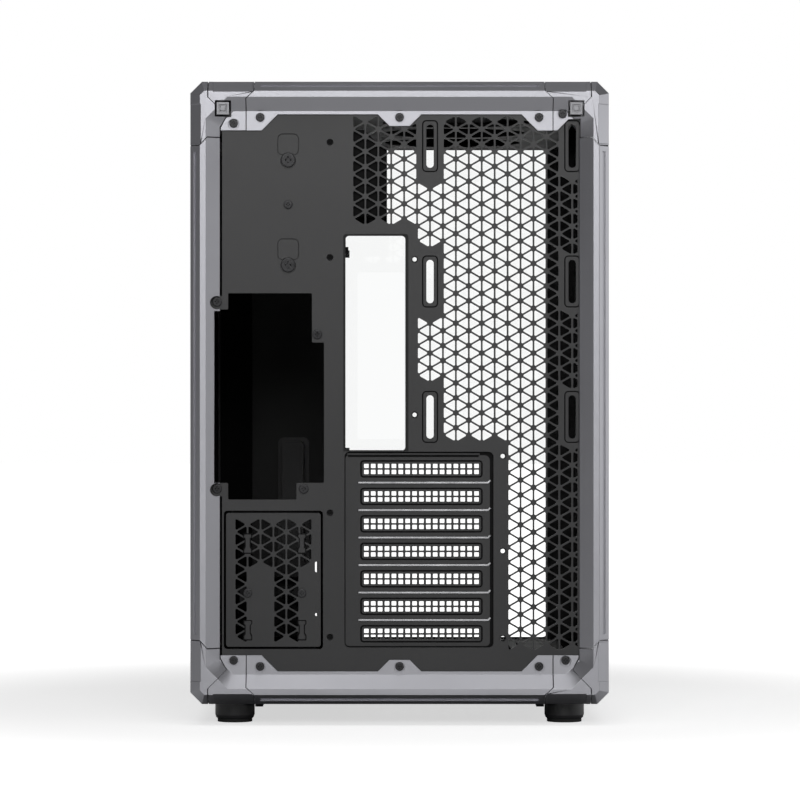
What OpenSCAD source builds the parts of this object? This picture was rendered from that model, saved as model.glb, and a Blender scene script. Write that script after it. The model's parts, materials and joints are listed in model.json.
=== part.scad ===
// Dual-chamber tower computer case. Millimetres, +Z up, the back faces -Y.
// The origin is on the floor below the middle of the case.

/* [Case] */
// Width across the two sides
case_w = 309; // [290:1:340]
// Depth from the back frame's crest to the front frame's crest
case_d = 450; // [400:1:520]
// Height of the body without its feet
body_h = 459.5; // [450:0.5:500]
// Height of the feet
foot_h = 15.5; // [10:0.5:25]

/* [Frame profile] */
// Width of the bevel on the outside of the frame
outer_bevel_w = 7.4; // [6:0.1:9]
// Depth of the bevel on the outside of the frame
outer_bevel_d = 9; // [7:0.5:10]
// Width of the flat crest
crest_w = 4.4; // [3.5:0.1:6]
// Width of the bevel on the inside of the frame
inner_bevel_w = 10; // [9:0.1:12]
// Depth from the crest to the screw tabs
inner_bevel_d = 8; // [7:0.5:10]
// Width of the flange on the top and bottom rails
flange_w = 2.3; // [1.5:0.1:3]
// Thickness of the frame castings
frame_wall = 2; // [1.6:0.1:2.4]
// Depth of the frame band on the sides of the case
frame_band = 24; // [22:1:30]
// Width of the groove along the outside bevel
groove_w = 3.6; // [2:0.1:4]
// Depth of the groove along the outside bevel
groove_d = 1; // [0.5:0.1:1.2]
// Distance from a corner to the end of the groove
groove_end = 52; // [50:1:60]
// Gap at the seams between frame pieces
seam_gap = 0.6; // [0.3:0.1:1]

/* [Frame corners] */
// Length of a corner bracket along the inside of the frame
corner_in = 41; // [40:0.5:45]
// Extra length of a corner bracket on the outside bevel
corner_step = 6; // [5:0.5:8]
// Leg of the vertical chamfer on each outside corner
corner_cut = 8.6; // [7:0.1:10]
// Leg of the sloping facet on each outside corner
facet_cut = 18; // [16:0.5:20]
// Leg of the gusset inside each corner
gusset = 16; // [14:0.5:18]
// Distance from the corner to the mitre on the outside bevel
mitre_in = 13; // [12:0.5:15]
// Distance from the top or bottom of the body to the end of a screw tab
tab_reach = 36; // [34:0.5:39]
// Depth of the recessed band on the corner's outside bevel
band_recess = 0.7; // [0.4:0.1:1]
// Width of a snap pin
pin_w = 9.2; // [8:0.1:10]
// Clearance around a snap pin
pin_clear = 1.2; // [0.8:0.1:1.4]
// Distance of a snap pin from the side of the case
pin_in = 24.3; // [23:0.1:26]
// Distance of a snap pin from the top of the case
pin_down = 20.2; // [19:0.1:22]

/* [Frame tabs] */
// Width of the centre tab at its foot
mid_tab_w = 32; // [28:1:40]
// Height of the centre tab below the flange
mid_tab_h = 8.5; // [7:0.5:11]
// Length of an end tab along the rail
end_tab_w = 11; // [9:0.5:14]
// Distance of a rail screw from the corner seam
rail_screw_in = 10; // [8:0.5:11]
// Distance of a bracket screw from the corner seam
bracket_screw_in = 9; // [7:0.5:11]

/* [Screws] */
// Diameter of a screw head
head_d = 6.4; // [5.5:0.1:7]
// Diameter of the power supply's screw heads
supply_head_d = 7; // [6:0.1:7.6]
// Height of a screw head
head_h = 1.5; // [1:0.1:2]
// Diameter of the recess round a frame screw
seat_d = 8; // [7.2:0.1:9]
// Depth of the recess round a frame screw
seat_deep = 1; // [0.6:0.1:1.2]
// Diameter of a screw shank
shank_d = 3; // [2.5:0.1:3.2]
// Clearance of a screw in its hole
screw_fit = 0.2; // [0.1:0.05:0.4]

/* [Sheet steel] */
// Thickness of the steel sheet
sheet_t = 1.2; // [0.8:0.1:1.4]
// Width of the folded edges
fold_w = 10; // [8:0.5:12]
// Gap between the left post and the back panel
panel_gap = 1.5; // [1:0.1:2.5]

/* [Vent lattice] */
// Side of a lattice triangle, from rib centre to rib centre
cell = 11.03; // [10.6:0.01:14]
// Width of a lattice rib
rib_w = 1.3; // [1:0.05:1.8]
// Distance of the first rib from the tray
lattice_in = 12.66; // [12:0.1:13.6]
// Distance of the first lattice node below the top of the body
lattice_down = 34.9; // [33:0.1:36]

/* [Motherboard tray] */
// Gap between the tray and the input-output opening
io_gap = 6.2; // [5:0.1:8]
// Width of the input-output opening
io_w = 44.45; // [44:0.05:45]
// Height of the input-output opening
io_h = 158.75; // [158:0.05:159]
// Distance of the input-output opening above the foot of the body
io_up = 187.05; // [184:0.1:190]
// Height of the standoffs
standoff_h = 6.35; // [6:0.05:6.8]
// Width across the standoffs
standoff_d = 6; // [5:0.1:7]

/* [Expansion slots] */
// Distance between slots
slot_pitch = 20.32; // [20:0.01:20.4]
// Width of the slot bay
slot_bay_w = 110; // [108:0.5:114]
// Depth of the slot bay behind the panel's face
slot_bay_deep = 3; // [2.5:0.5:4]
// Length of a slot cover
cover_w = 90.5; // [88:0.5:92]
// Height of a slot cover
cover_h = 12.4; // [12:0.1:13]
// Gap round a slot cover
cover_gap = 0.7; // [0.4:0.1:1]
// Width of a square hole in a slot cover
cover_hole = 3.4; // [2.8:0.1:3.6]
// Distance between the square holes along the cover
cover_pitch = 5.09; // [4.6:0.01:5.1]

/* [Fan slots] */
// Distance of the left column of fan slots from the input-output opening
fan_gap = 18.15; // [17:0.1:20]
// Distance of the last row above the foot of the input-output opening
fan_up = 24.95; // [24.9:0.1:30]
// Distance of the first row below the top of the body
fan_down = 47.5; // [46:0.5:50]
// Distance of the right column from the right edge of the panel
fan_edge = 6.2; // [6:0.1:8]
// Width of a fan slot
fan_slot_w = 5.4; // [4.4:0.1:6]
// Length of a fan slot
fan_slot_h = 32; // [28:1:34]
// Width of the raised rim round a fan slot
fan_rim = 2.4; // [1.8:0.1:2.6]
// Width of the groove round each pad
fan_line = 0.8; // [0.5:0.1:0.9]

/* [Power supply] */
// Width of the power supply
psu_w = 86; // [85:0.5:87]
// Height of the power supply, which stands upright
psu_h = 150; // [149:0.5:151]
// Distance of the power supply from the tray
psu_gap = 7.3; // [6:0.1:8]
// Distance of the power supply from the side of the case
psu_edge = 13.7; // [13:0.1:15]
// Distance of the power supply above the foot of the body
psu_up = 152.3; // [151.5:0.1:156]
// Diameter of the power supply's screw holes
psu_hole_d = 3.8; // [3.5:0.1:4.2]

/* [Drive bay] */
// Width of the drive-bay cover
bay_w = 70; // [68:0.5:72]
// Height of the drive-bay cover
bay_h = 98.9; // [96:0.5:100]
// Gap round the drive-bay cover
bay_gap = 1.6; // [1:0.1:2]
// Distance of the cover's foot from the foot of the body
bay_up = 42.2; // [41:0.1:46]
// Distance of the cover from the tray
bay_in = 10.7; // [10:0.1:12]
// Depth of the drive cage
cage_d = 150; // [120:5:170]

/* [Outer panels] */
// Thickness of the glass
glass_t = 4; // [3:0.5:5]
// Leg of the depth rails
rail_leg = 22; // [20:0.5:24]
// Width of the lip that carries an outer panel
lip_w = 6; // [4:0.5:8]
// Width of the foot of a bottom rail
rail_foot = 47; // [44:0.5:50]
// Gap round the outer panels
skin_gap = 0.6; // [0.4:0.1:1]
// Thickness of the outer steel panels
skin_t = 1.5; // [1:0.1:2]
// Length of a vent slot in the outer panels
vent_l = 36; // [30:1:40]
// Width of a vent slot in the outer panels
vent_w = 5; // [4:0.5:6]
// Distance between vent slots across their width
vent_pitch = 11; // [10:0.5:14]

/* [Feet] */
// Diameter of a foot
foot_d = 29.5; // [26:0.5:32]
// Distance of a foot from the side of the case
foot_in = 31.5; // [30:0.5:33]
// Distance of a foot from the back or front of the case
foot_back = 46; // [42:1:60]
// Thickness of the rubber pad
pad_t = 2.5; // [2:0.1:4]

/* [Front connectors] */
// Height of the connector housing
io_box_h = 130; // [125:1:150]
// Width of the connector housing
io_box_w = 18; // [17:0.5:22]
// Height of the housing's foot above the foot of the body
io_box_up = 60; // [50:1:80]
// Diameter of the power button
power_d = 12; // [10:0.5:13]
// Diameter of the reset button
reset_d = 6; // [5:0.5:7]
// Travel of the buttons
press = 1; // [0.6:0.1:1.2]
// Running gap round a button
button_gap = 0.35; // [0.3:0.05:0.5]

/* [Hidden] */
$fn = 32;
// Number of expansion slots
slots = 7;

frame_grey = [0.55, 0.55, 0.57];
sheet_black = [0.16, 0.16, 0.17];
plastic_black = [0.08, 0.08, 0.08];
screw_black = [0.12, 0.12, 0.12];
clear_glass = [0.75, 0.82, 0.85, 0.35];

// Places worked out from the driving sizes
half_w = case_w / 2;
half_d = case_d / 2;
base_z = foot_h;
top_z = foot_h + body_h;
mid_z = foot_h + body_h / 2;
crest_end = outer_bevel_w + crest_w;
ring_in = crest_end + inner_bevel_w;
tab_back = inner_bevel_d + frame_wall;
tongue = 8;
corner_out = corner_in + corner_step;
gusset_reach = (2 * crest_end + gusset) / sqrt(2);
bevel_run = norm([outer_bevel_w, outer_bevel_d]);

panel_front = tab_back;
panel_back = tab_back + sheet_t;
panel_left = -half_w + ring_in + panel_gap;
panel_right = half_w - ring_in + 1;
panel_low = base_z + ring_in - 0.3;
panel_high = top_z - ring_in + 0.3;

tray_x = half_w - psu_edge - psu_w - psu_gap;
tray_face = -tray_x + sheet_t;
io_left = tray_face + io_gap;
io_low = base_z + io_up;
io_top = io_low + io_h;

slot_first = io_low - 13.5;
cover_left = io_left + 11;
cover_right = cover_left + cover_w;
slot_floor = panel_front + slot_bay_deep;

fan_right = panel_right - fan_edge;
fan_left = io_left + io_w + fan_gap;
fan_top = top_z - fan_down;
fan_low = io_low + fan_up;
fan_z = [fan_top, (fan_top + fan_low) / 2, fan_low];

psu_right = -tray_x - psu_gap;
psu_left = psu_right - psu_w;
psu_low = base_z + psu_up;
psu_top = psu_low + psu_h;
psu_hole_in = 6;
psu_holes = [
  [psu_left + psu_hole_in, psu_top - psu_hole_in],
  [psu_left + psu_hole_in, psu_top - psu_hole_in - 138],
  [psu_left + psu_hole_in + 74, psu_top - psu_hole_in - 24],
  [psu_left + psu_hole_in + 64, psu_top - psu_hole_in - 138]
];
psu_lip = 4.1;

bay_right = -tray_x - bay_in;
bay_left = bay_right - bay_w;
bay_low = base_z + bay_up;
bay_top = bay_low + bay_h;
bay_screws = [[bay_left + 16, bay_low + 39], [bay_right - 14, bay_low + 39]];

key_x = -tray_x - 34.8;
key_z = [top_z - 58.5, psu_top + 21.2];
key_d = 11.4;
key_slot = 15.9;
key_slot_up = 12.2;
key_slot_h = 16;
key_edge = 14;
key_gap_low = key_z[1] + key_slot_up + key_slot_h / 2;
key_gap_high = key_z[0] - key_d / 2;
key_screw_z = key_gap_low + (key_gap_high - key_gap_low) * 0.475;

skin_low = base_z + rail_leg + skin_gap;
skin_high = top_z - rail_leg - skin_gap;
skin_half_d = half_d - frame_band - skin_gap;
cover_half_w = half_w - rail_leg - skin_gap;

// Faces of the inner plates
floor_z = panel_low + sheet_t;
ceiling_z = panel_high - 2 * sheet_t;
chassis_v = frame_band - sheet_t - 1;
chassis_back_y = half_d - chassis_v - sheet_t;
tray_front = chassis_back_y;
panel_back_y = -half_d + panel_back;

// Draws on the plane of the back: x right, y up, depth into the case as z
module on_rear() {
  translate([0, -half_d, 0])
    mirror([0, 1, -1])
      children();
}

module on_front() {
  mirror([0, 1, 0])
    on_rear()
      children();
}

// The other corner of the frame, for side -1 (left) or 1 (right) and end -1 (bottom) or 1 (top)
module at_corner(side, end) {
  translate([side * half_w, mid_z + end * body_h / 2, 0])
    scale_signs(-side, -end)
      children();
}

module scale_signs(sx, sy) {
  mirror([sx < 0 ? 1 : 0, 0, 0])
    mirror([0, sy < 0 ? 1 : 0, 0])
      children();
}

module slab(low, high) {
  translate([low.x, low.y, low.z])
    cube([high.x - low.x, high.y - low.y, high.z - low.z]);
}

module rounded(w, h, r) {
  square([w - 2 * r, h], center = true);
  square([w, h - 2 * r], center = true);
  for (sx = [-1, 1], sy = [-1, 1])
    translate([sx * (w / 2 - r), sy * (h / 2 - r)])
      circle(r);
}

module slot_shape(w, h) {
  square([w, h - w], center = true);
  for (s = [-1, 1])
    translate([0, s * (h - w) / 2])
      circle(d = w);
}

// Frame profile: u runs inwards from the outside, v runs back from the crest
function frame_profile(lip) = [
  [0, frame_band],
  [0, outer_bevel_d],
  [outer_bevel_w, 0],
  [crest_end, 0],
  [ring_in, inner_bevel_d],
  [ring_in + lip, inner_bevel_d],
  [ring_in + lip, tab_back],
  [ring_in - frame_wall * 0.4, tab_back],
  [crest_end - frame_wall * 0.3, frame_wall],
  [outer_bevel_w + frame_wall * 0.4, frame_wall],
  [frame_wall, outer_bevel_d + frame_wall * 0.3],
  [frame_wall, frame_band]
];

// A groove sunk in the outside bevel, in the same u and v
function groove_profile() =
  let (along = [outer_bevel_w, -outer_bevel_d] / bevel_run,
       down = [outer_bevel_d, outer_bevel_w] / bevel_run,
       middle = [outer_bevel_w, outer_bevel_d] / 2)
  [
    middle - along * groove_w / 2 + down * groove_d,
    middle + along * groove_w / 2 + down * groove_d,
    middle + along * groove_w / 2 - down,
    middle - along * groove_w / 2 - down
  ];

// Sweeps a profile along the top edge or along the left edge, inside corner coordinates
module sweep_across(length) {
  rotate([90, 0, -90])
    linear_extrude(length, center = true)
      children();
}

module sweep_up(length) {
  rotate([90, 0, 0])
    linear_extrude(length, center = true)
      children();
}

// Top or bottom rail, drawn at the top edge with y down from it
module rail_body() {
  difference() {
    intersection() {
      sweep_across(case_w)
        polygon(frame_profile(flange_w));
      translate([0, 0, -1])
        linear_extrude(frame_band + 2)
          rail_region();
    }
    sweep_across(case_w - 2 * groove_end)
      polygon(groove_profile());
  }
}

module rail_region() {
  inner = half_w - corner_in - seam_gap;
  outer = half_w - corner_out - seam_gap;
  polygon([
    [-outer, 1], [outer, 1], [outer, -outer_bevel_w], [inner, -crest_end - 1], [inner, -tab_reach],
    [-inner, -tab_reach], [-inner, -crest_end - 1], [-outer, -outer_bevel_w]
  ]);
}

module rail_tabs() {
  inner = half_w - corner_in - seam_gap;
  root = -ring_in - flange_w + 0.5;
  slope = tab_reach - ring_in - flange_w;
  for (s = [-1, 1])
    polygon([
      [s * inner, root], [s * inner, -tab_reach], [s * (inner - end_tab_w), -tab_reach],
      [s * (inner - end_tab_w - slope), -ring_in - flange_w], [s * (inner - end_tab_w - slope), root]
    ]);
  polygon([
    [-mid_tab_w / 2, root], [-mid_tab_w / 2, -ring_in - flange_w],
    [-mid_tab_w / 2 + mid_tab_h, -ring_in - flange_w - mid_tab_h],
    [mid_tab_w / 2 - mid_tab_h, -ring_in - flange_w - mid_tab_h],
    [mid_tab_w / 2, -ring_in - flange_w], [mid_tab_w / 2, root]
  ]);
}

rail_screw_x = half_w - corner_in - seam_gap - rail_screw_in;
rail_screw_y = ring_in + flange_w + 3;
bracket_screw = [corner_in - bracket_screw_in, ring_in + 9.8];

module screw_seat(p) {
  translate([p.x, p.y, inner_bevel_d - 1])
    cylinder(d = seat_d, h = seat_deep + 1);
  translate([p.x, p.y, inner_bevel_d])
    cylinder(d = shank_d + 2 * screw_fit, h = frame_wall + 1);
}

module rail() {
  rail_body();
  rotate([0, 0, -90])
    tongues(half_w);
}

module tabbed_rail() {
  difference() {
    union() {
      rail();
      translate([0, 0, inner_bevel_d])
        linear_extrude(frame_wall)
          rail_tabs();
    }
    for (x = [-rail_screw_x, 0, rail_screw_x])
      screw_seat([x, -rail_screw_y]);
  }
}

// Tongues that reach inside the corner pieces at both ends of a rail or post
module tongues(half_length) {
  reach = half_length - corner_out;
  for (s = [-1, 1])
    translate([frame_wall, s * reach - tongue, outer_bevel_d + 3])
      cube([frame_wall, 2 * tongue, frame_band - outer_bevel_d - 6.5]);
}

// Post on the left edge, with x in from it and y up from the middle of the body
module post_region() {
  inner = body_h / 2 - corner_in - seam_gap;
  outer = body_h / 2 - corner_out - seam_gap;
  polygon([
    [-1, outer], [outer_bevel_w, outer], [crest_end + 1, inner], [ring_in + 1, inner],
    [ring_in + 1, -inner], [crest_end + 1, -inner], [outer_bevel_w, -outer], [-1, -outer]
  ]);
}

module post() {
  difference() {
    intersection() {
      sweep_up(body_h)
        polygon(frame_profile(0));
      translate([0, 0, -1])
        linear_extrude(frame_band + 2)
          post_region();
    }
    sweep_up(body_h - 2 * groove_end)
      polygon(groove_profile());
  }
  tongues(body_h / 2);
}

// The left back post is cut away round the power supply's opening and its two screws
module rear_left_cut() {
  lip_out = half_w + psu_left + psu_lip;
  translate([lip_out, psu_low + 11.1 - mid_z, -1])
    cube([ring_in, psu_h - 23.3, tab_back + 2]);
  for (i = [0, 1])
    translate([psu_holes[i].x + half_w, psu_holes[i].y - mid_z, -1])
      cylinder(r = 4.8, h = tab_back + 2);
}

// Corner bracket, drawn with x and y running inwards from the corner of the case
module corner_region() {
  polygon([
    [-1, -1], [corner_out, -1], [corner_out, outer_bevel_w], [corner_in, crest_end + 1],
    [corner_in, tab_reach], [ring_in, tab_reach], [ring_in, corner_in],
    [crest_end + 1, corner_in], [outer_bevel_w, corner_out], [-1, corner_out]
  ]);
}

// The front corners have no screw plate and end along the gusset
module plain_region() {
  flange = ring_in + flange_w;
  along = (gusset_reach + inner_bevel_w) * sqrt(2) + flange_w;
  polygon([
    [-1, -1], [corner_out, -1], [corner_out, outer_bevel_w], [corner_in, crest_end + 1],
    [corner_in, flange], [along - flange, flange], [ring_in, along - ring_in], [ring_in, corner_in],
    [crest_end + 1, corner_in], [outer_bevel_w, corner_out], [-1, corner_out]
  ]);
}

module corner_outline(inset) {
  cut = corner_cut + inset * (2 - sqrt(2));
  polygon([
    [inset + cut - inset, inset], [corner_out + 1, inset], [corner_out + 1, corner_out + 1],
    [inset, corner_out + 1], [inset, inset + cut - inset]
  ]);
}

module bevel_wedge(length, drop) {
  far = 3;
  slope = outer_bevel_d / outer_bevel_w;
  sweep_across(length)
    polygon([
      [-far, outer_bevel_d + far * slope + drop], [-far, -far],
      [outer_bevel_w + far / slope + drop, -far]
    ]);
}

// Cuts along the top edge; the side edge is its mirror image
module edge_cuts() {
  bevel_wedge(4 * corner_out, 0);
  translate([(mitre_in + 4 + corner_out - 1) / 2, 0, 0])
    bevel_wedge(corner_out - mitre_in - 5, band_recess);
}

module corner_block() {
  difference() {
    intersection() {
      union() {
        for (flip = [0, 1])
          mirror([flip, -flip, 0])
            rotate([90, 0, -90])
              mirror([1, 0, 0])
                linear_extrude(4 * corner_out, center = true)
                  bracket_profile(crest_end);
        rotate([0, 0, 45])
          rotate([90, 0, 0])
            linear_extrude(4 * corner_out, center = true)
              bracket_profile(gusset_reach);
        linear_extrude(frame_band)
          difference() {
            corner_outline(0);
            corner_outline(frame_wall);
          }
        translate([0, 0, inner_bevel_d])
          linear_extrude(frame_wall)
            square(corner_out);
      }
      translate([0, 0, -1])
        linear_extrude(frame_band + 2)
          intersection() {
            children();
            corner_outline(0);
          }
    }
    for (flip = [0, 1])
      mirror([flip, -flip, 0])
        mirror([0, 1, 0])
          edge_cuts();
    rotate([0, 0, 45])
      rotate([90, 0, 0])
        linear_extrude(4 * corner_out, center = true)
          facet_profile();
  }
}

module rear_block(side, end) {
  difference() {
    corner_block()
      corner_region();
    screw_seat(bracket_screw_at(side, end));
    fan_notch(side, end);
  }
}

module bracket_profile(reach) {
  polygon([
    [-2, inner_bevel_d + 1], [-2, 0], [reach, 0], [reach + inner_bevel_w, inner_bevel_d],
    [reach + inner_bevel_w, inner_bevel_d + 1]
  ]);
}

module facet_profile() {
  near = corner_cut / sqrt(2);
  reach = facet_cut / sqrt(2);
  slope = outer_bevel_d / (reach - near);
  polygon([[near - 3, outer_bevel_d + 3 * slope], [near - 3, -3], [reach + 3 / slope, -3]]);
}

// Side of the mitre that belongs to the cheek, with the gap on its edge
module cheek_region(grow) {
  start = mitre_in + grow;
  bend = outer_bevel_w + 4.4 + grow * 0.4;
  far = ring_in + 3.7;
  polygon([
    [-1, -1], [start, -1], [start, bend], [start + far - bend, far],
    [ring_in + grow, far + 8 + grow], [ring_in + grow, corner_out + 1], [-1, corner_out + 1]
  ]);
}

module pin_hole() {
  translate([pin_in, pin_down, -1])
    linear_extrude(tab_back + 2)
      square(pin_w + 2 * pin_clear, center = true);
}

// Cut at the top right corner, where the fan slot's pad stands beside the bracket's plate
module fan_notch(side, end) {
  low = top_z - fan_top - fan_slot_h / 2 - fan_rim - 1.4;
  near = ring_in - 0.7;
  far = half_w - fan_right + fan_slot_w / 2 + fan_rim - 2.3;
  run = corner_in - low;
  if (side > 0 && end > 0)
    translate([0, 0, -2])
      linear_extrude(frame_band + 4)
        polygon([[near, low], [far, low], [far + run, low + run], [near, low + run]]);
}

module cheek(side, end) {
  difference() {
    intersection() {
      rear_block(side, end);
      translate([0, 0, -2])
        linear_extrude(frame_band + 4)
          cheek_region(0);
    }
    if (end > 0)
      pin_hole();
  }
}

module cap(side, end) {
  difference() {
    rear_block(side, end);
    translate([0, 0, -2])
      linear_extrude(frame_band + 4)
        cheek_region(seam_gap);
    if (end > 0)
      pin_hole();
  }
}

module at_edge(end) {
  translate([0, mid_z + end * body_h / 2, 0])
    mirror([0, end < 0 ? 1 : 0, 0])
      children();
}

module at_side(side) {
  translate([side * half_w, mid_z, 0])
    mirror([side > 0 ? 1 : 0, 0, 0])
      children();
}

module rear_rail(end) {
  color(frame_grey)
    on_rear()
      at_edge(end)
        tabbed_rail();
}

module rear_left_post() {
  color(frame_grey)
    on_rear()
      at_side(-1)
        difference() {
          post();
          rear_left_cut();
        }
}

module rear_right_post() {
  color(frame_grey)
    on_rear()
      at_side(1)
        post();
}

module rear_cap(side, end) {
  color(frame_grey)
    on_rear()
      at_corner(side, end)
        cap(side, end);
}

module rear_cheek(side, end) {
  color(frame_grey)
    on_rear()
      at_corner(side, end)
        cheek(side, end);
}

module front_rail(end) {
  color(frame_grey)
    on_front()
      at_edge(end)
        rail();
}

module front_post(side) {
  color(frame_grey)
    on_front()
      at_side(side)
        post();
}

module front_corner(side, end) {
  color(frame_grey)
    on_front()
      at_corner(side, end)
        corner_block()
          plain_region();
}

// Depth rail at a corner of the case, with x and y running inwards: one layer of its bent section
module rail_layer(inset, leg_x, leg_y) {
  near = corner_cut + inset * (2 - sqrt(2));
  far = corner_cut + (inset + frame_wall) * (2 - sqrt(2));
  polygon([
    [near, inset], [leg_x, inset], [leg_x, inset + frame_wall], [far, inset + frame_wall],
    [inset + frame_wall, far], [inset + frame_wall, leg_y], [inset, leg_y], [inset, near]
  ]);
}

// Return and lip that an outer panel rests on
module rail_lip() {
  translate([frame_wall - 0.1, rail_leg - frame_wall])
    square([glass_t + 0.1, frame_wall]);
  translate([glass_t, rail_leg - frame_wall])
    square([frame_wall, frame_wall + lip_w]);
}

module depth_rail(side, end) {
  length = case_d - 2 * frame_band - 2 * seam_gap;
  leg = end < 0 ? rail_foot : rail_leg;
  color(frame_grey)
    on_rear()
      at_corner(side, end) {
        translate([0, 0, frame_band + seam_gap])
          linear_extrude(length) {
            rail_layer(0, leg, rail_leg);
            rail_lip();
            if (end > 0)
              mirror([1, -1, 0])
                rail_lip();
          }
        // Ends that reach inside the frame bands
        for (v = [chassis_v + sheet_t, case_d - chassis_v - sheet_t - tongue])
          translate([0, 0, v])
            linear_extrude(tongue)
              rail_layer(frame_wall, rail_leg - frame_wall, rail_leg - frame_wall);
      }
}

// Snap pins through the top corners of the back frame
module snap_pins() {
  color(frame_grey)
    on_rear()
      for (side = [-1, 1])
        at_corner(side, 1)
          translate([pin_in, pin_down, 1.5])
            difference() {
              linear_extrude(panel_front - 1.5)
                square(pin_w, center = true);
              translate([0, 0, -1])
                linear_extrude(2)
                  difference() {
                    square(pin_w * 0.6, center = true);
                    square(pin_w * 0.4, center = true);
                  }
            }
}

// The lattice: columns of triangles between upright ribs
cell_w = cell * sqrt(3) / 2;
lattice_x = -tray_x + lattice_in;
lattice_top = top_z - lattice_down;

function triangle(c, way) =
  let (reach = cell / sqrt(3) - rib_w)
  [for (k = [0:2]) [c.x + way * reach * cos(120 * k), c.y + reach * sin(120 * k)]];

// Centre of triangle j in column i; even sums point right, odd ones point left
function triangle_way(i, j) = (i + j) % 2 == 0 ? 1 : -1;
function triangle_centre(x0, z0, i, j) =
  [x0 + i * cell_w + (triangle_way(i, j) > 0 ? cell_w / 3 : 2 * cell_w / 3), z0 - (j + 1) * cell / 2];

// Columns first to last of triangles that lie between two heights and clear of the kept parts
module lattice(x0, z0, first, last, low, high, keep_x = 1e6, keep_z = []) {
  row_a = floor((z0 - high) / (cell / 2)) - 1;
  row_b = ceil((z0 - low) / (cell / 2)) + 1;
  for (i = [first:last], j = [row_a:row_b])
    let (c = triangle_centre(x0, z0, i, j))
      if (c.y + cell / 2 <= high + 0.4 && c.y - cell / 2 >= low - 0.4
          && !(c.x > keep_x && len([for (z = keep_z) if (abs(c.y - z) < fan_slot_h / 2 + 7) 1]) > 0))
        polygon(triangle(c, triangle_way(i, j)));
}

// Columns of the lattice that each zone fills
zone_high = panel_high - 2.6;
zone_low = panel_low + 12;
fan_col = ceil((fan_left - lattice_x) / cell_w) - 1;
right_col = floor((fan_right - fan_slot_w / 2 - fan_rim - fan_line - lattice_x) / cell_w);

module panel_lattice() {
  // Above the input-output opening
  lattice(lattice_x, lattice_top, 0, fan_col - 2, io_top + 3, zone_high);
  // Between the fan slots of the left column
  for (k = [0:len(fan_z) - 2])
    lattice(lattice_x, lattice_top, fan_col - 1, fan_col,
            fan_z[k + 1] + fan_slot_h / 2 + 6, fan_z[k] - fan_slot_h / 2 - 6);
  // Beside the input-output opening
  lattice(lattice_x, lattice_top, fan_col + 1, fan_col + 5, io_low + 3, zone_high);
  // The full height on the right, cut off at the fold
  intersection() {
    lattice(lattice_x, lattice_top, fan_col + 6, right_col + 1, zone_low, zone_high,
            lattice_x + right_col * cell_w - 3, fan_z);
    translate([0, base_z])
      square([panel_right - sheet_t - 1, body_h]);
  }
}

// Sheet outline, with two ears that carry the power supply's left screws
ear_r = 5;
module panel_outline() {
  polygon([
    [panel_left, panel_low], [panel_right, panel_low], [panel_right, panel_high], [panel_left, panel_high]
  ]);
  for (i = [0, 1])
    translate(psu_holes[i]) {
      circle(ear_r);
      translate([0, -ear_r])
        square([2 * ear_r, 2 * ear_r]);
    }
}

module psu_opening() {
  polygon([
    [psu_left + psu_lip, psu_low + 11.1], [psu_left + 14.2, psu_low + 11.1],
    [psu_left + 14.2, psu_low - 1.3], [psu_left + 64.5, psu_low - 1.3],
    [psu_left + 64.5, psu_low + 11.1], [psu_right - 1.1, psu_low + 11.1],
    [psu_right - 1.1, psu_top - 35.4], [psu_right - 10, psu_top - 35.4],
    [psu_right - 10, psu_top + 1], [psu_left + 14.2, psu_top + 1],
    [psu_left + 14.2, psu_top - 12.2], [psu_left + psu_lip, psu_top - 12.2]
  ]);
}

module keyhole(z) {
  translate([key_x, z])
    circle(d = key_d);
  translate([key_x, z + key_slot_up])
    rounded(key_slot, key_slot_h, 4);
}

// Small holes for screws in the panel, each with its own use inside
panel_holes = [
  [-tray_x - 3.9, top_z - 44.5], [-tray_x - 3.9, top_z - 129.6],
  [-tray_x - 3.9, base_z + 141.3], [-tray_x - 3.9, base_z + 49.5],
  [fan_left - 11.4, fan_z[1] + 16.4], [fan_left - 11.4, fan_z[2] + 1.6],
  [cover_right + 14.8, slot_first + 9.5], [cover_right + 14.8, slot_first - 60.6],
  [cover_right + 14.8, slot_first - 125]
];

slot_bay_x = io_left - 0.6 + slot_bay_w / 2;
slot_bay_h = slots * slot_pitch + 2.4;
slot_bay_z = io_low - 0.8 - slot_bay_h / 2;

module rear_panel() {
  color(sheet_black)
    on_rear() {
      difference() {
        translate([0, 0, panel_front])
          linear_extrude(sheet_t)
            difference() {
              panel_outline();
              translate([io_left + io_w / 2, io_low + io_h / 2])
                rounded(io_w, io_h, 3);
              translate([slot_bay_x, slot_bay_z])
                rounded(slot_bay_w, slot_bay_h, 3.5);
              psu_opening();
              translate([(bay_left + bay_right) / 2, (bay_low + bay_top) / 2])
                rounded(bay_w + 2 * bay_gap, bay_h + 2 * bay_gap, 2.5);
              for (z = fan_z, x = [fan_left, fan_right])
                translate([x, z])
                  slot_shape(fan_slot_w, fan_slot_h);
              for (z = key_z)
                keyhole(z);
              for (p = psu_holes)
                translate(p)
                  circle(d = psu_hole_d);
              for (p = panel_holes)
                translate(p)
                  circle(d = shank_d + 2 * screw_fit);
              for (p = frame_screw_places())
                translate(p)
                  circle(d = shank_d + 2 * screw_fit);
              translate([key_x, key_screw_z])
                circle(d = shank_d + 2 * screw_fit);
              panel_lattice();
            }
        translate([0, 0, panel_front - 1])
          linear_extrude(1.5)
            difference() {
              fan_pads(fan_line);
              fan_pads(0);
            }
      }
      slot_pan();
      panel_folds();
      fan_rims();
    }
}

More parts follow.
